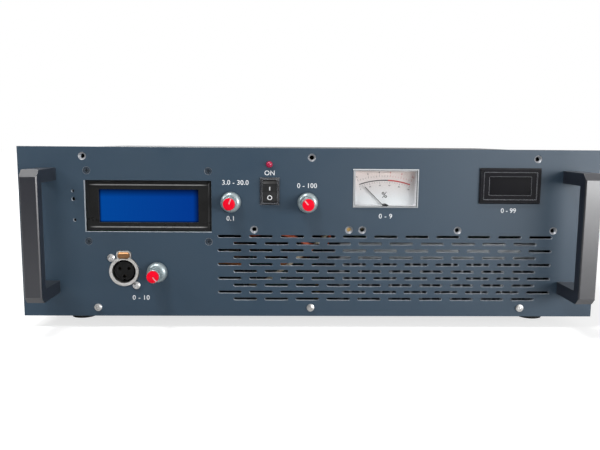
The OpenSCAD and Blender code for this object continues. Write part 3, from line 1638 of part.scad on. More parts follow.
front_panel();
base_plate();
top_cover();
side_left();
side_right();
rear_panel();
case_screws();
feet();
handle_left();
handle_right();
lcd_bezel();
lcd_glass();
lcd_board();
lcd_spacers();
lcd_screws();
xlr_shell();
xlr_insert();
xlr_contacts();
xlr_latch();
audio_pot();
audio_shaft();
audio_knob();
audio_cap();
power_pot();
power_shaft();
power_knob();
power_cap();
frequency_encoder();
frequency_rotor();
frequency_shaft();
frequency_knob();
frequency_cap();
switch_body();
switch_rocker();
transmit_lamp();
meter_case();
meter_cover();
meter_dial();
meter_needle();
meter_hub_cover();
thermometer_case();
thermometer_window();
heat_sink();
amplifier_board();
amplifier_parts();
circuit_boards();
board_standoffs();
board_parts();
filter_coils();
modulation_transformer();
power_supply();
red_wires();
cream_wire();
fan_frame();
fan_rotor();
fan_guard();
mains_inlet();
mains_pins();
rf_socket();
rf_core();
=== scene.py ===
# Looks of the shortwave transmitter: finishes, printed marks, wiring, studio and camera
import math

import bmesh
import bpy
from mathutils import Matrix, Vector


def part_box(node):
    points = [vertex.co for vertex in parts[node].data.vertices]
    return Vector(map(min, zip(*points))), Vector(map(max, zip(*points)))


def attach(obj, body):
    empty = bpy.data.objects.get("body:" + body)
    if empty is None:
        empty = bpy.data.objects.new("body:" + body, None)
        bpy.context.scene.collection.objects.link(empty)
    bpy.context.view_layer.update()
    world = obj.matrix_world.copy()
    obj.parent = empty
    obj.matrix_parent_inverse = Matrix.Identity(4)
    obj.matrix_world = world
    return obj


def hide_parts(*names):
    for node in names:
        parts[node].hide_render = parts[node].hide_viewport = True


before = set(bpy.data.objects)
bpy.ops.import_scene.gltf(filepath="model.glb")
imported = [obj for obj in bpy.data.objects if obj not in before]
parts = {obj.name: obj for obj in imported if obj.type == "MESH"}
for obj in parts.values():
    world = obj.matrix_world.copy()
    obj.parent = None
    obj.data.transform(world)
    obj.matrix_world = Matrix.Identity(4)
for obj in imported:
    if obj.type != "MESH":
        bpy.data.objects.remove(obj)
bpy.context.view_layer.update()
scene = bpy.context.scene
mm = 0.001
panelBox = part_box("front_panel")
faceY = panelBox[0].y
panelLow = panelBox[0].z
print("frame loaded,", len(parts), "pieces")


# camera, from the photograph's perspective: place in metres, angles in degrees
cameraSettings = {"lens": 38.8, "sensor": 36, "nearest": 0.01, "place": (-0.0205, -0.651, 0.1487),
                  "yaw": 1.34, "pitch": -7.49, "roll": 0.46}


def placeCamera(settings):
    yaw, pitch, roll = (math.radians(settings[key]) for key in ("yaw", "pitch", "roll"))
    ahead = Vector((math.sin(yaw) * math.cos(pitch), math.cos(yaw) * math.cos(pitch), math.sin(pitch)))
    level = Vector((math.cos(yaw), -math.sin(yaw), 0))
    above = level.cross(ahead)
    right = level * math.cos(roll) + above * math.sin(roll)
    up = above * math.cos(roll) - level * math.sin(roll)
    lens = bpy.data.cameras.new("camera")
    lens.lens = settings["lens"]
    lens.sensor_width = settings["sensor"]
    lens.clip_start = settings["nearest"]
    camera = bpy.data.objects.new("camera", lens)
    turn = Matrix((right, up, -ahead)).transposed().to_4x4()
    camera.matrix_world = Matrix.Translation(settings["place"]) @ turn
    scene.collection.objects.link(camera)
    scene.camera = camera


placeCamera(cameraSettings)
print("camera placed")


# node helpers; a mix node has its colour sockets at these numbers
mixSlots = {"factor": 0, "first": 6, "second": 7, "result": 2}
noiseRange = (0.3, 0.7)  # where most of a noise lies


def setInputs(node, values):
    for key, value in values.items():
        node.inputs[key].default_value = value


def addNode(tree, kind, values=None, **settings):
    node = tree.nodes.new(kind)
    for key, value in settings.items():
        setattr(node, key, value)
    setInputs(node, values or {})
    return node


def feed(tree, socket, value):
    # an output is linked to the socket, a number or colour is set on it
    if isinstance(value, bpy.types.NodeSocket):
        tree.links.new(value, socket)
    else:
        socket.default_value = value


def newGroup(name, inputs, outputs):
    tree = bpy.data.node_groups.new(name, "ShaderNodeTree")
    for label, value in inputs.items():
        kind = "NodeSocketVector" if isinstance(value, tuple) else "NodeSocketFloat"
        tree.interface.new_socket(label, in_out="INPUT", socket_type=kind).default_value = value
    for label in outputs:
        kind = "NodeSocketVector" if label == "Normal" else "NodeSocketFloat"
        tree.interface.new_socket(label, in_out="OUTPUT", socket_type=kind)
    return tree, tree.nodes.new("NodeGroupInput").outputs, tree.nodes.new("NodeGroupOutput").inputs


def calc(tree, operation, first, second=None, clamp=False):
    node = addNode(tree, "ShaderNodeMath", operation=operation, use_clamp=clamp)
    feed(tree, node.inputs[0], first)
    if second is not None:
        feed(tree, node.inputs[1], second)
    return node.outputs[0]


def remap(tree, value, low, high, newLow=0.0, newHigh=1.0):
    limits = {"From Min": low, "From Max": high, "To Min": newLow, "To Max": newHigh}
    node = addNode(tree, "ShaderNodeMapRange", limits)
    tree.links.new(value, node.inputs["Value"])
    return node.outputs["Result"]


def blendColour(tree, mask, first, second, blend="MIX"):
    node = addNode(tree, "ShaderNodeMix", data_type="RGBA", blend_type=blend)
    feed(tree, node.inputs[mixSlots["factor"]], mask)
    for slot, value in (("first", first), ("second", second)):
        feed(tree, node.inputs[mixSlots[slot]], (*value, 1) if isinstance(value, tuple) else value)
    return node.outputs[mixSlots["result"]]


def noise(tree, vector, scale, detail=3.0, rough=0.55, distortion=0.0):
    values = {"Detail": detail, "Roughness": rough, "Distortion": distortion}
    node = addNode(tree, "ShaderNodeTexNoise", values)
    tree.links.new(vector, node.inputs["Vector"])
    feed(tree, node.inputs["Scale"], scale)
    return node.outputs["Fac"]


def splitAxes(tree, vector):
    node = addNode(tree, "ShaderNodeSeparateXYZ")
    tree.links.new(vector, node.inputs[0])
    return node.outputs


def objectCoords(tree):
    return addNode(tree, "ShaderNodeTexCoord").outputs["Object"]


def geometry(tree, label):
    return addNode(tree, "ShaderNodeNewGeometry").outputs[label]


# shared surface effects
def makeGrain():
    # fine surface grain, drawn out along one axis for brushed metal
    broadShare = 0.12
    tree, source, sink = newGroup("fineGrain", {"Scale": 1500, "Stretch": (1, 1, 1)}, ["Height", "Tone"])
    stretch = addNode(tree, "ShaderNodeVectorMath", operation="MULTIPLY")
    tree.links.new(objectCoords(tree), stretch.inputs[0])
    tree.links.new(source["Stretch"], stretch.inputs[1])
    fine = noise(tree, stretch.outputs[0], source["Scale"], detail=2.0, rough=0.6)
    broad = noise(tree, stretch.outputs[0], calc(tree, "MULTIPLY", source["Scale"], broadShare))
    tree.links.new(fine, sink["Height"])
    tree.links.new(remap(tree, broad, *noiseRange), sink["Tone"])
    return tree


def makeSmudges():
    # wide cloudy patches left by handling
    tree, source, sink = newGroup("smudges", {"Scale": 14}, ["Mask"])
    cloud = noise(tree, objectCoords(tree), source["Scale"], detail=4.0, rough=0.62, distortion=0.6)
    tree.links.new(remap(tree, cloud, low=0.35, high=0.68), sink["Mask"])
    return tree


def makeEdgeWear():
    # rubbed edges: where a softened normal leaves the true one, broken up unless wear is even
    breakup = 300
    inputs = {"Radius": 0.0004, "Evenness": 0.0, "Amount": 0.5}
    tree, source, sink = newGroup("edgeWear", inputs, ["Mask", "Normal"])
    soft = addNode(tree, "ShaderNodeBevel", samples=4)
    tree.links.new(source["Radius"], soft.inputs["Radius"])
    tree.links.new(soft.outputs["Normal"], sink["Normal"])
    match = addNode(tree, "ShaderNodeVectorMath", operation="DOT_PRODUCT")
    tree.links.new(soft.outputs["Normal"], match.inputs[0])
    tree.links.new(geometry(tree, "Normal"), match.inputs[1])
    edge = remap(tree, match.outputs["Value"], low=0.97, high=0.75)
    patches = noise(tree, objectCoords(tree), breakup, detail=4.0, rough=0.65)
    spread = calc(tree, "MAXIMUM", remap(tree, patches, low=0.42, high=0.6), source["Evenness"])
    worn = calc(tree, "MULTIPLY", calc(tree, "MULTIPLY", edge, spread), source["Amount"], clamp=True)
    tree.links.new(worn, sink["Mask"])
    return tree


def makeDust():
    # light dust on faces that look up
    patchScale = 60
    tree, source, sink = newGroup("settledDust", {"Amount": 0.3}, ["Mask"])
    upward = remap(tree, splitAxes(tree, geometry(tree, "Normal"))["Z"], low=0.3, high=1.0)
    patches = noise(tree, objectCoords(tree), patchScale, detail=6.0, rough=0.7)
    settled = calc(tree, "MULTIPLY", upward, remap(tree, patches, low=0.3, high=0.75))
    tree.links.new(calc(tree, "MULTIPLY", settled, source["Amount"], clamp=True), sink["Mask"])
    return tree


def makeCutFaces():
    # sawn walls and countersunk cones of a sheet: faces inside its rim that look neither forward nor back
    wallBelow, coneAbove = 0.9, 0.4
    tree, source, sink = newGroup("cutFaces", {"Half Width": 0.2, "Low": 0.0, "High": 0.1}, ["Mask", "Cone"])
    forward = calc(tree, "ABSOLUTE", splitAxes(tree, geometry(tree, "True Normal"))["Y"])
    wall = calc(tree, "LESS_THAN", forward, wallBelow)
    cone = calc(tree, "GREATER_THAN", forward, coneAbove)
    place = splitAxes(tree, objectCoords(tree))
    inside = calc(tree, "LESS_THAN", calc(tree, "ABSOLUTE", place["X"]), source["Half Width"])
    above = calc(tree, "GREATER_THAN", place["Z"], source["Low"])
    below = calc(tree, "LESS_THAN", place["Z"], source["High"])
    mask = calc(tree, "MULTIPLY", calc(tree, "MULTIPLY", wall, inside), calc(tree, "MULTIPLY", above, below))
    tree.links.new(mask, sink["Mask"])
    tree.links.new(calc(tree, "MULTIPLY", mask, cone), sink["Cone"])
    return tree


def makeFoldLines():
    # painted highlight lines, shown as bare metal along the upper and lower folds of a pressed frame, fading
    # at their ends
    endFade = 6 * mm
    inputs = dict.fromkeys(("Across", "Up", "Half Height", "Half Length", "Line"), 0.01)
    tree, source, sink = newGroup("paintedFoldHighlights", inputs, ["Mask"])
    place = splitAxes(tree, objectCoords(tree))
    rise = calc(tree, "ABSOLUTE", calc(tree, "SUBTRACT", place["Z"], source["Up"]))
    off = calc(tree, "ABSOLUTE", calc(tree, "SUBTRACT", rise, source["Half Height"]))
    line = calc(tree, "SUBTRACT", 1, calc(tree, "DIVIDE", off, source["Line"]), clamp=True)
    reach = calc(tree, "ABSOLUTE", calc(tree, "SUBTRACT", place["X"], source["Across"]))
    ends = calc(tree, "DIVIDE", calc(tree, "SUBTRACT", source["Half Length"], reach), endFade, clamp=True)
    tree.links.new(calc(tree, "MULTIPLY", line, ends), sink["Mask"])
    return tree


groups = {"grain": makeGrain(), "smudges": makeSmudges(), "wear": makeEdgeWear(), "dust": makeDust(),
          "cut": makeCutFaces(), "foldHighlights": makeFoldLines()}
print("shared surface effects made")


# finishes
def useGroup(tree, name, **values):
    return addNode(tree, "ShaderNodeGroup", values, node_tree=groups[name]).outputs


def startFinish(name):
    material = bpy.data.materials.new(name)
    material.use_nodes = True
    return material, material.node_tree, material.node_tree.nodes["Principled BSDF"]


def addBump(tree, shader, height, strength, depth, normal=None):
    bump = addNode(tree, "ShaderNodeBump", {"Strength": strength, "Distance": depth})
    tree.links.new(height, bump.inputs["Height"])
    if normal:
        tree.links.new(normal, bump.inputs["Normal"])
    tree.links.new(bump.outputs["Normal"], shader.inputs["Normal"])


def useWear(tree, settings):
    return useGroup(tree, "wear", Radius=settings["wearRadius"], Amount=settings["wear"],
                    Evenness=settings["evenness"])


def paintFinish(name, settings):
    # enamel or powder coat over metal, rubbed at its edges
    material, tree, shader = startFinish(name)
    grain = useGroup(tree, "grain", Scale=settings["grain"])
    smudge = useGroup(tree, "smudges", Scale=settings["cloud"])["Mask"]
    wear = useWear(tree, settings)
    dust = useGroup(tree, "dust", Amount=settings["dust"])["Mask"]
    paint = blendColour(tree, smudge, settings["colour"], settings["shade"])
    bare = wear["Mask"]
    normal = None
    # bare carries the worn edges and, where asked, the painted highlight lines on the folds
    if "foldHighlights" in settings:
        bare = calc(tree, "MAXIMUM", bare, useGroup(tree, "foldHighlights", **settings["foldHighlights"])["Mask"])
    worn = blendColour(tree, bare, paint, settings["bare"])
    sheen = remap(tree, smudge, 0, 1, settings["roughLow"], settings["roughHigh"])
    rough = calc(tree, "ADD", sheen, calc(tree, "MULTIPLY", dust, settings["dustDulls"]), clamp=True)
    if "cut" in settings:
        cut = useGroup(tree, "cut", **settings["cut"])
        metal = blendColour(tree, cut["Cone"], settings["sawn"], settings["drilled"])
        worn = blendColour(tree, cut["Mask"], worn, metal)
        shine = remap(tree, cut["Cone"], 0, 1, settings["sawnShine"], settings["drilledShine"])
        bare = calc(tree, "MAXIMUM", bare, calc(tree, "MULTIPLY", cut["Mask"], shine))
        rough = calc(tree, "MULTIPLY", rough, remap(tree, cut["Cone"], 0, 1, 1, settings["drilledRough"]))
        normal = wear["Normal"]
    tree.links.new(blendColour(tree, dust, worn, settings["dustColour"]), shader.inputs["Base Color"])
    tree.links.new(rough, shader.inputs["Roughness"])
    tree.links.new(bare, shader.inputs["Metallic"])
    setInputs(shader, {"Specular IOR Level": settings["specular"], "Coat Weight": settings["lacquer"],
                       "Coat Roughness": settings["lacquerRough"]})
    addBump(tree, shader, grain["Height"], settings["bump"], settings["depth"], normal)
    return material


def metalFinish(name, settings):
    # bare or plated metal with grain along one axis and dull patches
    material, tree, shader = startFinish(name)
    grain = useGroup(tree, "grain", Scale=settings["grain"], Stretch=settings["stretch"])
    smudge = useGroup(tree, "smudges", Scale=settings["cloud"])["Mask"]
    tone = blendColour(tree, grain["Tone"], settings["colour"], settings["shade"])
    tree.links.new(blendColour(tree, smudge, tone, settings["tarnish"]), shader.inputs["Base Color"])
    sheen = remap(tree, smudge, 0, 1, settings["roughLow"], settings["roughHigh"])
    ripple = remap(tree, grain["Height"], *noiseRange, -settings["ripple"], settings["ripple"])
    tree.links.new(calc(tree, "ADD", sheen, ripple, clamp=True), shader.inputs["Roughness"])
    setInputs(shader, {"Metallic": 1})
    addBump(tree, shader, grain["Height"], settings["bump"], settings["depth"])
    return material


def plasticFinish(name, settings):
    # moulded plastic, rubber or lacquer: fine grain, pale scuffed edges, which on the thermometer and switch
    # frames are painted highlights
    material, tree, shader = startFinish(name)
    grain = useGroup(tree, "grain", Scale=settings["grain"])
    smudge = useGroup(tree, "smudges", Scale=settings["cloud"])["Mask"]
    wear = useWear(tree, settings)
    dust = useGroup(tree, "dust", Amount=settings["dust"])["Mask"]
    body = blendColour(tree, smudge, settings["colour"], settings["shade"])
    scuffed = blendColour(tree, wear["Mask"], body, settings["scuff"])
    tree.links.new(blendColour(tree, dust, scuffed, settings["dustColour"]), shader.inputs["Base Color"])
    rough = remap(tree, smudge, 0, 1, settings["roughLow"], settings["roughHigh"])
    tree.links.new(rough, shader.inputs["Roughness"])
    setInputs(shader, {"Specular IOR Level": settings["specular"], "Metallic": settings["flake"]})
    addBump(tree, shader, grain["Height"], settings["bump"], settings["depth"])
    return material


def dress(finish, *names):
    for name in names:
        parts[name].data.materials.clear()
        parts[name].data.materials.append(finish)


edgeSettings = {"weld": 0.01 * mm, "segments": 2}


def softenEdges(width, angle, *names):
    for name in names:
        weld = parts[name].modifiers.new("weld", "WELD")
        weld.merge_threshold = edgeSettings["weld"]
        bevel = parts[name].modifiers.new("softEdges", "BEVEL")
        bevel.width = width
        bevel.segments = edgeSettings["segments"]
        bevel.limit_method = "ANGLE"
        bevel.angle_limit = math.radians(angle)
        bevel.harden_normals = True


# case: panel in satin enamel with bare sawn slots, sheets in powder coat
paintBase = {"bare": (0.5, 0.5, 0.5), "evenness": 0.0, "lacquer": 0, "lacquerRough": 0.12, "depth": 0.0001,
             "dustColour": (0.32, 0.31, 0.29), "dustDulls": 0.4}
enamelPaint = {**paintBase, "colour": (0.0225, 0.047, 0.0765), "shade": (0.028, 0.0515, 0.079),
               "bare": (0.62, 0.62, 0.61), "grain": 2600, "cloud": 9, "bump": 0.05, "roughLow": 0.42,
               "roughHigh": 0.52, "specular": 0.45, "wear": 0.5, "wearRadius": 0.0004, "evenness": 0.5,
               "dust": 0.25}
panelPaint = {**enamelPaint, "sawn": (0.56, 0.61, 0.67), "drilled": (0.28, 0.29, 0.31), "sawnShine": 0.1,
              "drilledShine": 0.3, "drilledRough": 0.7,
              "cut": {"Half Width": panelBox[1].x - mm, "Low": panelLow + mm, "High": panelBox[1].z - mm}}
screwPaint = {**enamelPaint, "colour": (0.019, 0.031, 0.047), "shade": (0.025, 0.037, 0.052), "bump": 0.1,
              "specular": 0.32, "wear": 0.3, "evenness": 0.0}
casePaint = {**paintBase, "colour": (0.03, 0.036, 0.045), "shade": (0.036, 0.042, 0.05), "grain": 1500,
             "cloud": 12, "bump": 0.35, "roughLow": 0.48, "roughHigh": 0.6, "specular": 0.4, "wear": 0.4,
             "wearRadius": 0.0005, "dust": 0.14}
handlePaint = {**paintBase, "colour": (0.008, 0.009, 0.015), "shade": (0.011, 0.012, 0.019), "grain": 2200,
               "cloud": 30, "bump": 0.04, "lacquer": 0.3, "roughLow": 0.29, "roughHigh": 0.35,
               "specular": 1.0, "wear": 0.35, "wearRadius": 0.0004, "dust": 0.15}
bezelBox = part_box("lcd_bezel")
bezelMiddle = (bezelBox[0] + bezelBox[1]) / 2
# the bezel's fold lines are painted highlights
bezelPaint = {**paintBase, "colour": (0.01, 0.01, 0.01), "shade": (0.013, 0.013, 0.013), "grain": 3000,
              "cloud": 40, "bump": 0.05, "roughLow": 0.26, "roughHigh": 0.36, "specular": 0.2, "wear": 0.2,
              "wearRadius": 0.0003, "dust": 0.1,
              "foldHighlights": {"Across": bezelMiddle.x, "Up": bezelMiddle.z, "Line": 0.6 * mm,
                        "Half Height": bezelBox[1].z - bezelMiddle.z - 3.2 * mm,
                        "Half Length": bezelBox[1].x - bezelMiddle.x - 2.5 * mm}}

dress(paintFinish("panelEnamel", panelPaint), "front_panel")
dress(paintFinish("casePowderCoat", casePaint), "base_plate", "top_cover", "side_left", "side_right",
      "rear_panel")
dress(paintFinish("handleBlack", handlePaint), "handle_left", "handle_right")
dress(paintFinish("bezelBlack", bezelPaint), "lcd_bezel")
dress(paintFinish("paintedScrew", screwPaint), "lcd_screws")
softenEdges(0.5 * mm, 25, "handle_left", "handle_right")
softenEdges(0.25 * mm, 20, "lcd_bezel")
print("case and handles finished")


# metals
steelSettings = {"colour": (0.84, 0.84, 0.85), "shade": (0.74, 0.74, 0.75), "tarnish": (0.6, 0.59, 0.57),
                 "grain": 2500, "stretch": (1, 1, 1), "cloud": 90, "bump": 0.05, "depth": 0.00005,
                 "roughLow": 0.26, "roughHigh": 0.4, "ripple": 0.05}
nickelSettings = {**steelSettings, "colour": (0.9, 0.89, 0.87), "shade": (0.82, 0.81, 0.79),
                  "tarnish": (0.68, 0.66, 0.63), "roughLow": 0.38, "roughHigh": 0.5}
brassSettings = {**steelSettings, "colour": (0.68, 0.47, 0.18), "shade": (0.58, 0.38, 0.14),
                 "tarnish": (0.4, 0.27, 0.12)}
# painted shade: the contacts are coloured far darker than brass for the shade in their deep recesses
shadedContactSettings = {**steelSettings, "colour": (0.22, 0.16, 0.09), "shade": (0.18, 0.13, 0.07),
                   "tarnish": (0.12, 0.09, 0.06)}
tabSettings = {**steelSettings, "colour": (0.42, 0.22, 0.1), "shade": (0.36, 0.18, 0.08),
               "tarnish": (0.3, 0.16, 0.08), "roughLow": 0.35, "roughHigh": 0.5}
sinkSettings = {**steelSettings, "colour": (0.6, 0.63, 0.66), "shade": (0.52, 0.55, 0.58),
                "tarnish": (0.48, 0.5, 0.53), "stretch": (1, 0.03, 1), "cloud": 20, "bump": 0.2,
                "roughLow": 0.34, "roughHigh": 0.5}
copperSettings = {**steelSettings, "colour": (0.62, 0.25, 0.1), "shade": (0.5, 0.18, 0.07),
                  "tarnish": (0.36, 0.14, 0.07), "stretch": (0.2, 0.2, 1.5), "bump": 0.4}

dress(metalFinish("brightSteel", steelSettings), "case_screws", "audio_shaft", "power_shaft",
      "frequency_shaft", "fan_guard")
dress(metalFinish("satinNickel", nickelSettings), "xlr_shell", "audio_pot", "power_pot", "frequency_encoder",
      "mains_pins", "rf_socket")
dress(metalFinish("turnedBrass", brassSettings), "lcd_spacers", "frequency_rotor", "board_standoffs")
dress(metalFinish("contactPaintedShade", shadedContactSettings), "xlr_contacts")
dress(metalFinish("wornBronze", tabSettings), "xlr_latch")
dress(metalFinish("sinkAluminium", sinkSettings), "heat_sink", "power_supply")
dress(metalFinish("coilCopper", copperSettings), "filter_coils")
print("metals finished")


# plastics, rubber and boards
blackSettings = {"colour": (0.014, 0.014, 0.015), "shade": (0.02, 0.02, 0.021), "scuff": (0.12, 0.12, 0.12),
                 "grain": 2200, "cloud": 60, "bump": 0.15, "depth": 0.00008, "roughLow": 0.36,
                 "roughHigh": 0.5, "specular": 0.3, "flake": 0, "wear": 0.35, "wearRadius": 0.0003,
                 "evenness": 0.0, "dust": 0.15, "dustColour": (0.3, 0.29, 0.27)}
rubberSettings = {**blackSettings, "colour": (0.012, 0.012, 0.012), "roughLow": 0.7, "roughHigh": 0.85,
                  "bump": 0.4}
knobSettings = {**blackSettings, "colour": (0.3, 0.355, 0.37), "shade": (0.34, 0.4, 0.415),
                "scuff": (0.5, 0.55, 0.56), "roughLow": 0.27, "roughHigh": 0.35, "specular": 0.8,
                "flake": 0.5, "bump": 0.05, "dust": 0.02}
capSettings = {**blackSettings, "colour": (0.85, 0.001, 0.02), "shade": (0.74, 0.001, 0.018),
               "scuff": (0.8, 0.12, 0.14), "roughLow": 0.32, "roughHigh": 0.42, "specular": 0.12,
               "bump": 0.06, "dust": 0.02}
# painted highlight: the frames' even, full pale scuff on every edge stands in for light catching them
frameEdgeHighlightSettings = {**blackSettings, "colour": (0.008, 0.008, 0.01), "shade": (0.011, 0.011, 0.014),
                 "scuff": (0.5, 0.52, 0.56), "wear": 1.0, "wearRadius": 0.0007, "evenness": 0.8,
                 "roughLow": 0.34, "roughHigh": 0.46, "specular": 0.05}
switchEdgeHighlightSettings = {**frameEdgeHighlightSettings, "wearRadius": 0.0009, "specular": 0.15}
insertSettings = {**blackSettings, "colour": (0.008, 0.008, 0.008), "shade": (0.012, 0.012, 0.012),
                  "specular": 0.15}
boardSettings = {**blackSettings, "colour": (0.02, 0.13, 0.05), "shade": (0.03, 0.17, 0.07),
                 "scuff": (0.25, 0.3, 0.2), "grain": 900, "cloud": 320, "roughLow": 0.25, "roughHigh": 0.4}
coreSettings = {**blackSettings, "colour": (0.09, 0.085, 0.08), "shade": (0.13, 0.12, 0.11),
                "roughLow": 0.4, "roughHigh": 0.6}
whiteSettings = {**blackSettings, "colour": (0.8, 0.78, 0.72), "shade": (0.74, 0.71, 0.64),
                 "scuff": (0.85, 0.85, 0.82)}
needleSettings = {**blackSettings, "roughLow": 0.5, "roughHigh": 0.6}

dress(plasticFinish("socketBlack", insertSettings), "xlr_insert")
dress(plasticFinish("knobGrey", knobSettings), "audio_knob", "power_knob", "frequency_knob")
dress(plasticFinish("frameBlackEdgeHighlight", frameEdgeHighlightSettings), "thermometer_case")
dress(plasticFinish("switchBlackEdgeHighlight", switchEdgeHighlightSettings), "switch_body")
dress(plasticFinish("blackPlastic", blackSettings), "switch_rocker", "meter_case", "meter_hub_cover",
      "fan_frame", "fan_rotor", "mains_inlet", "amplifier_parts", "board_parts")
dress(plasticFinish("footRubber", rubberSettings), "feet")
dress(plasticFinish("capRed", capSettings), "audio_cap", "power_cap", "frequency_cap")
dress(plasticFinish("boardGreen", boardSettings), "lcd_board", "amplifier_board", "circuit_boards")
dress(plasticFinish("coreIron", coreSettings), "modulation_transformer")
dress(plasticFinish("socketWhite", whiteSettings), "rf_core")
dress(plasticFinish("needleBlack", needleSettings), "meter_needle")
softenEdges(0.25 * mm, 30, "audio_cap", "power_cap", "frequency_cap", "thermometer_case", "switch_rocker")
print("plastics finished")


# pieces built from rings of points
def bridge(build, rings):
    faces = []
    for first, second in zip(rings, rings[1:]):
        for k in range(len(first)):
            after = (k + 1) % len(first)
            faces.append(build.faces.new((first[k], first[after], second[after], second[k])))
    return faces


def finishPiece(build, name, finishes, body, node=None):
    bmesh.ops.recalc_face_normals(build, faces=build.faces)
    mesh = bpy.data.meshes.new(name)
    build.to_mesh(mesh)
    build.free()
    for finish in finishes:
        mesh.materials.append(finish)
    piece = bpy.data.objects.new(name, mesh)
    scene.collection.objects.link(piece)
    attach(piece, body)
    if node:
        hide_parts(node)


# wiring behind the slots: smooth leads, points as (across, back from the panel, up from the base)
leadSettings = {**blackSettings, "specular": 0.5}
leadFinishes = {
    "red": plasticFinish("leadRed", {**leadSettings, "colour": (0.9, 0.2, 0.1), "shade": (0.84, 0.16, 0.08),
                                     "scuff": (0.9, 0.45, 0.35)}),
    "orange": plasticFinish("leadOrange", {**leadSettings, "colour": (0.95, 0.32, 0.1),
                                           "shade": (0.9, 0.28, 0.08), "scuff": (0.95, 0.55, 0.35)}),
    "cream": plasticFinish("leadCream", {**leadSettings, "colour": (0.92, 0.82, 0.64),
                                         "shade": (0.88, 0.76, 0.56), "scuff": (0.85, 0.8, 0.7)})}
wireSettings = {"diameter": 3.0, "sides": 16, "steps": 12, "base": panelLow + 4 * mm, "back": panelBox[1].y,
                "red": [(-128, 132, 22), (-128, 104, 23), (-112, 72, 36), (-70, 44, 47), (-38, 14, 60),
                        (-16.5, 6, 59), (-2, 6, 52.2), (7, 8, 50.8), (13, 18, 49.5), (17, 36, 56),
                        (20, 52, 66), (34, 62, 59), (48, 62, 59)],
                "orange": [(-138, 132, 22), (-138, 104, 21), (-122, 62, 24), (-74, 24, 34), (-38, 14, 31),
                           (-10, 16, 39.5), (10, 34, 52), (16, 66, 66), (30, 74, 59), (48, 74, 59)],
                "cream": [(48, 50, 59), (36, 50, 59), (22, 38, 63), (8, 14, 54), (-14, 8, 38), (-33, 8, 24),
                          (-46, 18, 16), (-50, 34, 15), (-50, 42, 15)]}


def smoothRoute(points, steps):
    # curve that passes through every point
    ends = [points[0] * 2 - points[1], *points, points[-1] * 2 - points[-2]]
    route = []
    for a, b, c, d in zip(ends, ends[1:], ends[2:], ends[3:]):
        for i in range(steps):
            t = i / steps
            bend = 2 * a - 5 * b + 4 * c - d
            twist = 3 * b - a - 3 * c + d
            route.append(0.5 * (2 * b + (c - a) * t + bend * t * t + twist * t ** 3))
    return [*route, points[-1]]


def addLead(build, route, radius, sides, slot):
    # round lead whose ring keeps its direction from point to point
    along = (route[1] - route[0]).normalized()
    side = along.cross(Vector((0, 0, 1))).normalized()
    turns = [2 * math.pi * k / sides for k in range(sides)]
    rings = []
    for i, point in enumerate(route):
        along = (route[min(i + 1, len(route) - 1)] - route[max(i - 1, 0)]).normalized()
        side = (side - along * side.dot(along)).normalized()
        other = along.cross(side)
        rings.append([build.verts.new(point + radius * (side * math.cos(t) + other * math.sin(t)))
                      for t in turns])
    ends = [build.faces.new(rings[0][::-1]), build.faces.new(rings[-1])]
    walls = bridge(build, rings)
    for face in walls:
        face.smooth = True
    for face in ends + walls:
        face.material_index = slot


def makeLeads(settings, name, node, routes):
    build = bmesh.new()
    for slot, route in enumerate(routes):
        points = [Vector((x * mm, settings["back"] + y * mm, settings["base"] + z * mm))
                  for x, y, z in settings[route]]
        radius = settings["diameter"] * mm / 2
        addLead(build, smoothRoute(points, settings["steps"]), radius, settings["sides"], slot)
    finishPiece(build, name, [leadFinishes[route] for route in routes], "case", node)


makeLeads(wireSettings, "supplyLeads", "red_wires", ["red", "orange"])
makeLeads(wireSettings, "signalLead", "cream_wire", ["cream"])
print("leads laid")


# lit display: sizes in millimetres, with the window that the bezel leaves open
# the darkness and widths in the third row set the painted shadow along the window's edges
displaySettings = {"left": (0.0, 0.062, 0.32), "right": (0.0, 0.034, 0.26), "gap": (0.0, 0.03, 0.2),
                   "gapShows": 0.06, "cell": (3.55, 5.35), "dots": (2.95, 4.75), "window": (76.8, 25.8),
                   "edgeShadow": 0.12, "shadowWidth": 1.4, "topFade": 6.0, "rightShadowWidth": 4.5,
                   "glass": (0.0005, 0.002, 0.008), "rough": 0.3, "specular": 0.02}


def displayFinish(settings):
    # blue field with faint character cells, and painted shadow of the bezel darkening it along the window's
    # edges
    material, tree, shader = startFinish("displayBlue")
    low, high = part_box("lcd_glass")
    place = splitAxes(tree, objectCoords(tree))
    field = blendColour(tree, remap(tree, place["X"], low.x, high.x), settings["left"], settings["right"])
    inside = []
    for axis, start, pitch, size in zip("XZ", (low.x, low.z), settings["cell"], settings["dots"]):
        steps = calc(tree, "DIVIDE", calc(tree, "SUBTRACT", place[axis], start), pitch * mm)
        inside.append(calc(tree, "LESS_THAN", calc(tree, "FRACT", steps), size / pitch))
    gaps = remap(tree, calc(tree, "MULTIPLY", *inside), 0, 1, settings["gapShows"], 0.0)
    lit = blendColour(tree, gaps, field, settings["gap"])
    middle = (low + high) / 2
    halfWidth, halfHeight = (size * mm / 2 for size in settings["window"])
    # painted shadow of the bezel: the field darkens towards each edge of the window, over a wider band at the
    # top and right
    edges = [("Z", middle.z + halfHeight, -settings["topFade"]),
             ("Z", middle.z - halfHeight, settings["shadowWidth"]),
             ("X", middle.x - halfWidth, settings["shadowWidth"]),
             ("X", middle.x + halfWidth, -settings["rightShadowWidth"])]
    edgeShadows = [remap(tree, place[axis], edge, edge + shadowWidth * mm, settings["edgeShadow"], 1.0)
            for axis, edge, shadowWidth in edges]
    # shade is the painted bezel shadow, multiplied into the lit field
    shade = edgeShadows[0]
    for edgeShadow in edgeShadows[1:]:
        shade = calc(tree, "MULTIPLY", shade, edgeShadow)
    tree.links.new(blendColour(tree, 1, lit, shade, "MULTIPLY"), shader.inputs["Emission Color"])
    setInputs(shader, {"Base Color": (*settings["glass"], 1), "Roughness": settings["rough"],
                       "Specular IOR Level": settings["specular"], "Emission Strength": 1})
    return material


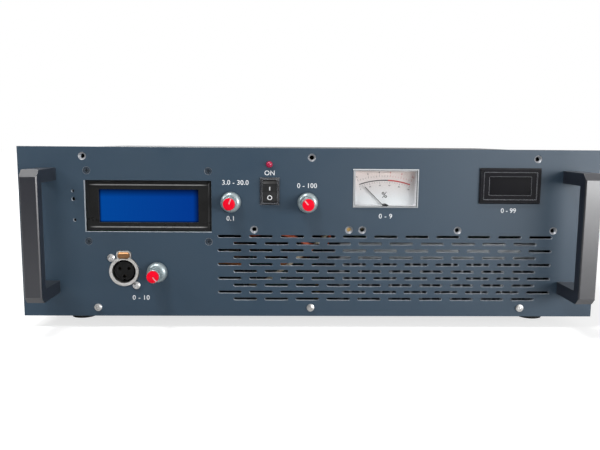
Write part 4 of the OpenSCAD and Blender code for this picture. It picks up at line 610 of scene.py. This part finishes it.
# meter: card under a clear cover, with painted warm light that tints it towards its upper edge
dialSettings = {"top": (0.7, 0.57, 0.53), "low": (0.65, 0.67, 0.69), "warmLightFrom": 20,
                "aged": (0.6, 0.55, 0.45), "age": 0.08, "grain": 2500, "bump": 0.05, "depth": 0.00005,
                "rough": 0.6}
coverSettings = {"tint": (0.97, 0.98, 0.98), "ior": 1.3, "cloud": 70, "roughLow": 0.01, "roughHigh": 0.06}


def dialFinish(settings):
    material, tree, shader = startFinish("dialCard")
    low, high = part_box("meter_cover")
    place = splitAxes(tree, objectCoords(tree))
    grain = useGroup(tree, "grain", Scale=settings["grain"])
    # painted warm light: the card turns from its low colour to the warmer top colour above a set height
    rise = remap(tree, place["Z"], low.z + settings["warmLightFrom"] * mm, high.z)
    warmLight = blendColour(tree, rise, settings["low"], settings["top"])
    aged = blendColour(tree, remap(tree, grain["Tone"], 0, 1, 0, settings["age"]), warmLight, settings["aged"])
    tree.links.new(aged, shader.inputs["Base Color"])
    setInputs(shader, {"Roughness": settings["rough"]})
    addBump(tree, shader, grain["Height"], settings["bump"], settings["depth"])
    return material


def clearFinish(settings):
    # lets light through to the dial
    material, tree, shader = startFinish("clearCover")
    setInputs(shader, {"Base Color": (*settings["tint"], 1), "Transmission Weight": 1,
                       "IOR": settings["ior"]})
    smudge = useGroup(tree, "smudges", Scale=settings["cloud"])["Mask"]
    rough = remap(tree, smudge, 0, 1, settings["roughLow"], settings["roughHigh"])
    tree.links.new(rough, shader.inputs["Roughness"])
    path = addNode(tree, "ShaderNodeLightPath").outputs
    through = addNode(tree, "ShaderNodeBsdfTransparent")
    either = addNode(tree, "ShaderNodeMixShader")
    passes = calc(tree, "MAXIMUM", path["Is Shadow Ray"], path["Is Diffuse Ray"])
    for slot, output in enumerate((passes, shader.outputs[0], through.outputs[0])):
        tree.links.new(output, either.inputs[slot])
    tree.links.new(either.outputs[0], tree.nodes["Material Output"].inputs["Surface"])
    return material


# lamp and smoked window
lampSettings = {"colour": (0.36, 0.012, 0.07), "shade": (0.32, 0.008, 0.025), "glow": 0.12, "grain": 3000,
                "roughLow": 0.12, "roughHigh": 0.2}
windowSettings = {**blackSettings, "colour": (0.008, 0.008, 0.01), "shade": (0.01, 0.01, 0.012),
                  "roughLow": 0.14, "roughHigh": 0.26, "specular": 0.025, "bump": 0.02}


def lampFinish(settings):
    material, tree, shader = startFinish("lampRed")
    grain = useGroup(tree, "grain", Scale=settings["grain"])
    tone = blendColour(tree, grain["Tone"], settings["colour"], settings["shade"])
    rough = remap(tree, grain["Height"], *noiseRange, settings["roughLow"], settings["roughHigh"])
    tree.links.new(tone, shader.inputs["Base Color"])
    tree.links.new(rough, shader.inputs["Roughness"])
    setInputs(shader, {"Emission Color": (*settings["colour"], 1), "Emission Strength": settings["glow"]})
    return material


dress(displayFinish(displaySettings), "lcd_glass")
dress(dialFinish(dialSettings), "meter_dial")
dress(clearFinish(coverSettings), "meter_cover")
dress(lampFinish(lampSettings), "transmit_lamp")
dress(plasticFinish("windowSmoked", windowSettings), "thermometer_window")
print("display, meter and lamp finished")


# printed marks: flat shapes drawn as (across, up), then laid on a surface
filmHalf = 0.02 * mm
letterSettings = {"size": 1.42, "weight": 0.012}  # shares of the letters' height
inkWhite = plasticFinish("inkWhite", {**whiteSettings, "colour": (0.78, 0.8, 0.82),
                                      "shade": (0.68, 0.7, 0.72)})
inkPink = plasticFinish("inkPink", {**whiteSettings, "colour": (0.8, 0.4, 0.43),
                                    "shade": (0.75, 0.34, 0.37)})
inkBlack = plasticFinish("inkBlack", {**blackSettings, "colour": (0.02, 0.02, 0.022)})
inkRed = plasticFinish("inkRed", {**blackSettings, "colour": (0.5, 0.02, 0.02),
                                  "shade": (0.42, 0.02, 0.02)})


def textShape(words, height, spread=1.0):
    curve = bpy.data.curves.new("letters", "FONT")
    curve.body = words
    curve.align_x = "CENTER"
    curve.align_y = "CENTER"
    curve.size = height * letterSettings["size"]
    curve.offset = height * letterSettings["weight"]
    curve.space_character = spread
    curve.extrude = filmHalf
    carrier = bpy.data.objects.new("letters", curve)
    scene.collection.objects.link(carrier)
    final = carrier.evaluated_get(bpy.context.evaluated_depsgraph_get())
    shape = bpy.data.meshes.new_from_object(final)
    bpy.data.objects.remove(carrier)
    bpy.data.curves.remove(curve)
    return shape


def addShape(build, shape, matrix):
    start = len(build.verts)
    build.from_mesh(shape)
    build.verts.ensure_lookup_table()
    for corner in build.verts[start:]:
        corner.co = matrix @ corner.co
    bpy.data.meshes.remove(shape)


def addStrip(build, matrix, left, right, thick=filmHalf):
    # strip of film between two rows of points
    rings = []
    for a, b in zip(left, right):
        corners = ((a, -thick), (b, -thick), (b, thick), (a, thick))
        rings.append([build.verts.new(matrix @ Vector((p[0], p[1], z))) for p, z in corners])
    bridge(build, rings)
    build.faces.new(rings[0][::-1])
    build.faces.new(rings[-1])


def addArc(build, matrix, centre, radius, width, start, end, steps):
    # angles run clockwise from upright, in degrees
    turns = [math.radians(start + (end - start) * i / steps) for i in range(steps + 1)]
    rows = [[(centre[0] + r * math.sin(t), centre[1] + r * math.cos(t)) for t in turns]
            for r in (radius - width / 2, radius + width / 2)]
    addStrip(build, matrix, rows[0], rows[1])


def addTick(build, matrix, centre, angle, inner, outer, width):
    turn = math.radians(angle)
    along = Vector((math.sin(turn), math.cos(turn)))
    side = Vector((along.y, -along.x)) * width / 2
    foot = Vector(centre) + along * inner
    tip = Vector(centre) + along * outer
    addStrip(build, matrix, [foot - side, tip - side], [foot + side, tip + side])


def upright(x, y, z):
    return Matrix.Translation((x, y, z)) @ Matrix.Rotation(math.radians(90), 4, "X")


def addFrame(build, x, z, sections):
    # closed frame through rectangles given by half width, half height and depth
    corners = ((-1, -1), (1, -1), (1, 1), (-1, 1))
    rings = [[build.verts.new((x + side * halfWidth, depth, z + rise * halfHeight)) for side, rise in corners]
             for halfWidth, halfHeight, depth in sections]
    bridge(build, rings + rings[:1])


# pale lines in the caps' grooves: cap, body, and turn from upright, anticlockwise
pointerSettings = {"width": 0.95, "floor": 0.7, "height": 0.34, "gap": 0.12,
                   "caps": [("audio_cap", "audio_knob", -140), ("power_cap", "power_knob", 40),
                            ("frequency_cap", "frequency_knob", -20)]}


def makePointers(settings):
    width, floor, height, gap = (settings[key] * mm for key in ("width", "floor", "height", "gap"))
    half = width / 2
    for cap, body, turn in settings["caps"]:
        low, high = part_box(cap)
        middle = (low + high) / 2
        reach = (high.x - low.x) / 2 - gap
        level = upright(middle.x, low.y + floor - height / 2, middle.z)
        place = level @ Matrix.Rotation(math.radians(turn), 4, "Z")
        build = bmesh.new()
        addStrip(build, place, [(-half, gap), (-half, reach)], [(half, gap), (half, reach)], height / 2)
        finishPiece(build, cap.replace("cap", "pointer"), [inkPink], body)


# pale rim over the clear cover's edges, a painted highlight standing in for their lit edges: half sizes and
# distance before the panel, outside then inside
coverHighlightSettings = {"middle": (57.7, 101.9),
               "finish": {**whiteSettings, "colour": (0.46, 0.48, 0.5), "shade": (0.46, 0.48, 0.5)},
               "rings": [(24.4, 14.0, 1.08), (24.75, 14.35, 1.08), (25.38, 14.98, 0.4), (25.38, 14.98, -0.3),
                         (25.31, 14.91, -0.3), (25.31, 14.91, 0.4), (24.72, 14.32, 1.01), (24.4, 14.0, 1.01)]}


def makeRim(settings):
    x, z = (value * mm for value in settings["middle"])
    sections = [(halfWidth * mm, halfHeight * mm, faceY - ahead * mm)
                for halfWidth, halfHeight, ahead in settings["rings"]]
    build = bmesh.new()
    addFrame(build, x, panelLow + z, sections)
    finishPiece(build, "meterCoverHighlight", [plasticFinish("paintedHighlightPale", settings["finish"])], "case")


# pale card walls that line the meter's cover between the dial and the clear front
linerSettings = {"middle": (57.7, 101.9), "size": (48.0, 27.2), "thickness": 0.3, "front": 0.35,
                 "finish": {**whiteSettings, "colour": (0.66, 0.66, 0.68), "shade": (0.66, 0.66, 0.68)}}


def makeLiner(settings):
    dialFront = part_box("meter_dial")[0].y
    x, z = (value * mm for value in settings["middle"])
    halfWidth, halfHeight = (value * mm / 2 for value in settings["size"])
    thick = settings["thickness"] * mm
    front = faceY + settings["front"] * mm
    steps = ((0, front), (0, dialFront), (thick, dialFront), (thick, front))
    build = bmesh.new()
    addFrame(build, x, panelLow + z, [(halfWidth - step, halfHeight - step, depth) for step, depth in steps])
    finishPiece(build, "meterLiner", [plasticFinish("linerCard", settings["finish"])], "case")


# plain numbers where the panel carries its legends: words, across, up, letter spacing
legendSettings = {"height": 3.6,
                  "marks": [("3.0 - 30.0", -59.0, 105.6, 1.05), ("0.1", -62.7, 77.7, 1.1),
                            ("ON", -32.5, 113.1, 1.05), ("0 - 100", -3.6, 103.5, 1.05),
                            ("0 - 10", -133.4, 14.6, 1.1), ("0 - 9", 57.9, 80.0, 1.1),
                            ("0 - 99", 154.4, 84.9, 1.0)]}


def makeLegends(settings):
    build = bmesh.new()
    for words, x, z, spread in settings["marks"]:
        shape = textShape(words, settings["height"] * mm, spread)
        addShape(build, shape, upright(x * mm, faceY, panelLow + z * mm))
    finishPiece(build, "panelLegends", [inkWhite], "case")


# meter scale: arcs about a low centre, angles from upright, ticks and numbers off the arc
scaleSettings = {"x": 57.7, "centre": 47.8, "radius": 60, "spread": 19.5, "redFrom": 2.5, "line": 0.75,
                 "redLine": 1.3, "arcSteps": 24, "steps": 20, "longEvery": 4, "unit": ("%", 96.0, 4.6),
                 "outer": {"from": 2.6, "to": 3.8, "longTo": 4.6, "width": 0.22, "numberAt": 6.2,
                           "numberHeight": 1.5, "numberStep": 0.5},
                 "inner": {"from": -1.0, "to": -1.9, "longTo": -2.6, "width": 0.2, "numberAt": -4.0,
                           "numberHeight": 1.1, "numberStep": 5}}


def makeScale(settings):
    base = upright(settings["x"] * mm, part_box("meter_dial")[0].y, panelLow)
    centre = (0, settings["centre"] * mm)
    radius, line = settings["radius"] * mm, settings["line"] * mm
    spread, redFrom = settings["spread"], settings["redFrom"]
    black, red = bmesh.new(), bmesh.new()
    addArc(black, base, centre, radius, line, -spread, redFrom, settings["arcSteps"])
    addArc(red, base, centre, radius, settings["redLine"] * line, redFrom, spread, settings["arcSteps"])
    for i in range(settings["steps"] + 1):
        angle = -spread + 2 * spread * i / settings["steps"]
        turn = math.radians(angle)
        along = Vector((math.sin(turn), math.cos(turn), 0))
        long = i % settings["longEvery"] == 0
        outerPrint = red if angle > redFrom else black
        for build, ring in ((outerPrint, settings["outer"]), (black, settings["inner"])):
            reach = sorted((ring["from"], ring["longTo"] if long else ring["to"]))
            foot, tip = (radius + value * mm for value in reach)
            addTick(build, base, centre, angle, foot, tip, ring["width"] * mm)
            if long:
                spot = Vector((*centre, 0)) + along * (radius + ring["numberAt"] * mm)
                place = base @ Matrix.Translation(spot) @ Matrix.Rotation(-turn, 4, "Z")
                number = textShape(str(int(i * ring["numberStep"])), ring["numberHeight"] * mm)
                addShape(build, number, place)
    words, up, height = settings["unit"]
    addShape(black, textShape(words, height * mm), base @ Matrix.Translation((0, up * mm, 0)))
    finishPiece(black, "dialPrintBlack", [inkBlack], "case")
    finishPiece(red, "dialPrintRed", [inkRed], "case")


# marks on the rocker's two faces: the upper leans out, the lower is upright at rest
rockerSettings = {"x": -32.4, "z": 99.2, "pivotDepth": 1.4, "valley": 3.7, "tilt": 10, "bar": (0.8, 3.0, 3.0),
                  "ring": (1.6, 0.6, 4.2), "ringSteps": 32}


def makeRockerMarks(settings):
    build = bmesh.new()
    tilt = math.radians(settings["tilt"])
    pivot = (settings["x"] * mm, faceY + settings["pivotDepth"] * mm, panelLow + settings["z"] * mm)
    valley = Matrix.Translation((0, -settings["valley"] * mm, 0))
    rest = Matrix.Translation(pivot) @ Matrix.Rotation(tilt, 4, "X") @ valley
    square = Matrix.Rotation(math.radians(90), 4, "X")
    upper = rest @ Matrix.Rotation(tilt, 4, "X") @ square
    lower = rest @ Matrix.Rotation(-tilt, 4, "X") @ square
    width, length, rise = (value * mm for value in settings["bar"])
    ends = (rise - length / 2, rise + length / 2)
    addStrip(build, upper, [(-width / 2, end) for end in ends], [(width / 2, end) for end in ends])
    radius, line, drop = (value * mm for value in settings["ring"])
    addArc(build, lower, (0, -drop), radius, line, 0, 360, settings["ringSteps"])
    finishPiece(build, "rockerMarks", [inkWhite], "rocker")


makePointers(pointerSettings)
makeRim(coverHighlightSettings)
makeLiner(linerSettings)
makeLegends(legendSettings)
makeScale(scaleSettings)
makeRockerMarks(rockerSettings)
print("printed marks made")


# studio sky: white to the eye; mirrored light comes from behind, above and the front right
skySettings = {"ambient": 0.24, "front": (0.03, 1.3), "across": (-0.5, 0.9), "behind": (-0.1, 0.35),
               "above": (0.35, 0.95)}


def mirrorRays(tree, path):
    return calc(tree, "MAXIMUM", path["Is Glossy Ray"], path["Is Transmission Ray"])


def makeSky(settings):
    world = bpy.data.worlds.new("studio")
    world.use_nodes = True
    scene.world = world
    tree = world.node_tree
    path = addNode(tree, "ShaderNodeLightPath").outputs
    way = splitAxes(tree, addNode(tree, "ShaderNodeTexCoord").outputs["Generated"])
    front = remap(tree, way["X"], *settings["across"], *settings["front"])
    behind = remap(tree, way["Y"], *settings["behind"])
    above = remap(tree, way["Z"], *settings["above"])
    mirrored = calc(tree, "MAXIMUM", calc(tree, "MAXIMUM", behind, above), front)
    polished = mirrorRays(tree, path)
    dull = calc(tree, "MULTIPLY", calc(tree, "SUBTRACT", 1, polished), settings["ambient"])
    lit = calc(tree, "ADD", calc(tree, "MULTIPLY", polished, mirrored), dull)
    sky = tree.nodes["Background"]
    sky.inputs["Color"].default_value = (1, 1, 1, 1)
    tree.links.new(calc(tree, "MAXIMUM", path["Is Camera Ray"], lit), sky.inputs["Strength"])


# studio floor: pale, glowing more with distance, dim to the left where it is mirrored
floorSettings = {"size": 6, "colour": (0.5, 0.5, 0.5), "fleck": (0.45, 0.45, 0.45), "flecks": 0.04,
                 "grain": 200, "rough": 0.9, "glow": (0.7, 1), "distance": (0.5, 1.3), "mirror": (0.03, 1),
                 "across": (-0.05, 0.5)}


def makeFloor(settings):
    build = bmesh.new()
    bmesh.ops.create_grid(build, x_segments=2, y_segments=2, size=settings["size"])
    mesh = bpy.data.meshes.new("floor")
    build.to_mesh(mesh)
    build.free()
    floor = bpy.data.objects.new("floor", mesh)
    scene.collection.objects.link(floor)
    material, tree, shader = startFinish("floorPale")
    mesh.materials.append(material)
    grain = useGroup(tree, "grain", Scale=settings["grain"])
    flecks = remap(tree, grain["Tone"], 0, 1, 0, settings["flecks"])
    tone = blendColour(tree, flecks, settings["colour"], settings["fleck"])
    tree.links.new(tone, shader.inputs["Base Color"])
    setInputs(shader, {"Roughness": settings["rough"], "Specular IOR Level": 0,
                       "Emission Color": (1, 1, 1, 1)})
    path = addNode(tree, "ShaderNodeLightPath").outputs
    place = objectCoords(tree)
    away = addNode(tree, "ShaderNodeVectorMath", operation="LENGTH")
    tree.links.new(place, away.inputs[0])
    glow = remap(tree, away.outputs["Value"], *settings["distance"], *settings["glow"])
    mirrored = remap(tree, splitAxes(tree, place)["X"], *settings["across"], *settings["mirror"])
    reflected = calc(tree, "MULTIPLY", mirrorRays(tree, path), mirrored)
    seen = calc(tree, "MAXIMUM", path["Is Camera Ray"], reflected)
    tree.links.new(calc(tree, "MULTIPLY", seen, glow), shader.inputs["Emission Strength"])


# soft lamps
lampStands = {
    "keyLamp": {"at": (0.82, -0.94, 0.22), "aim": (0.07, -0.12, 0.1), "size": (0.9, 0.38), "power": 10.4},
    "topLamp": {"at": (-0.3, -0.5, 0.95), "aim": (-0.2, -0.1, 0.1), "size": (0.25, 0.25), "power": 6.0},
    "leftLamp": {"at": (-0.54, -0.36, 0.4), "aim": (-0.25, -0.15, 0.12), "size": (0.2, 0.2), "power": 1.1},
    "rearLamp": {"at": (-0.5, 1.4, 1.1), "aim": (0, 0.1, 0.08), "size": (1.0, 1.0), "power": 12}}


def placeLamp(name, settings):
    lamp = bpy.data.lights.new(name, "AREA")
    lamp.shape = "RECTANGLE"
    lamp.size, lamp.size_y = settings["size"]
    lamp.energy = settings["power"]
    stand = bpy.data.objects.new(name, lamp)
    stand.location = settings["at"]
    ray = Vector(settings["aim"]) - Vector(settings["at"])
    stand.rotation_euler = ray.to_track_quat("-Z", "Y").to_euler()
    scene.collection.objects.link(stand)


makeSky(skySettings)
makeFloor(floorSettings)
for lampName, lampStand in lampStands.items():
    placeLamp(lampName, lampStand)
scene.view_settings.view_transform = "Standard"
print("studio made")
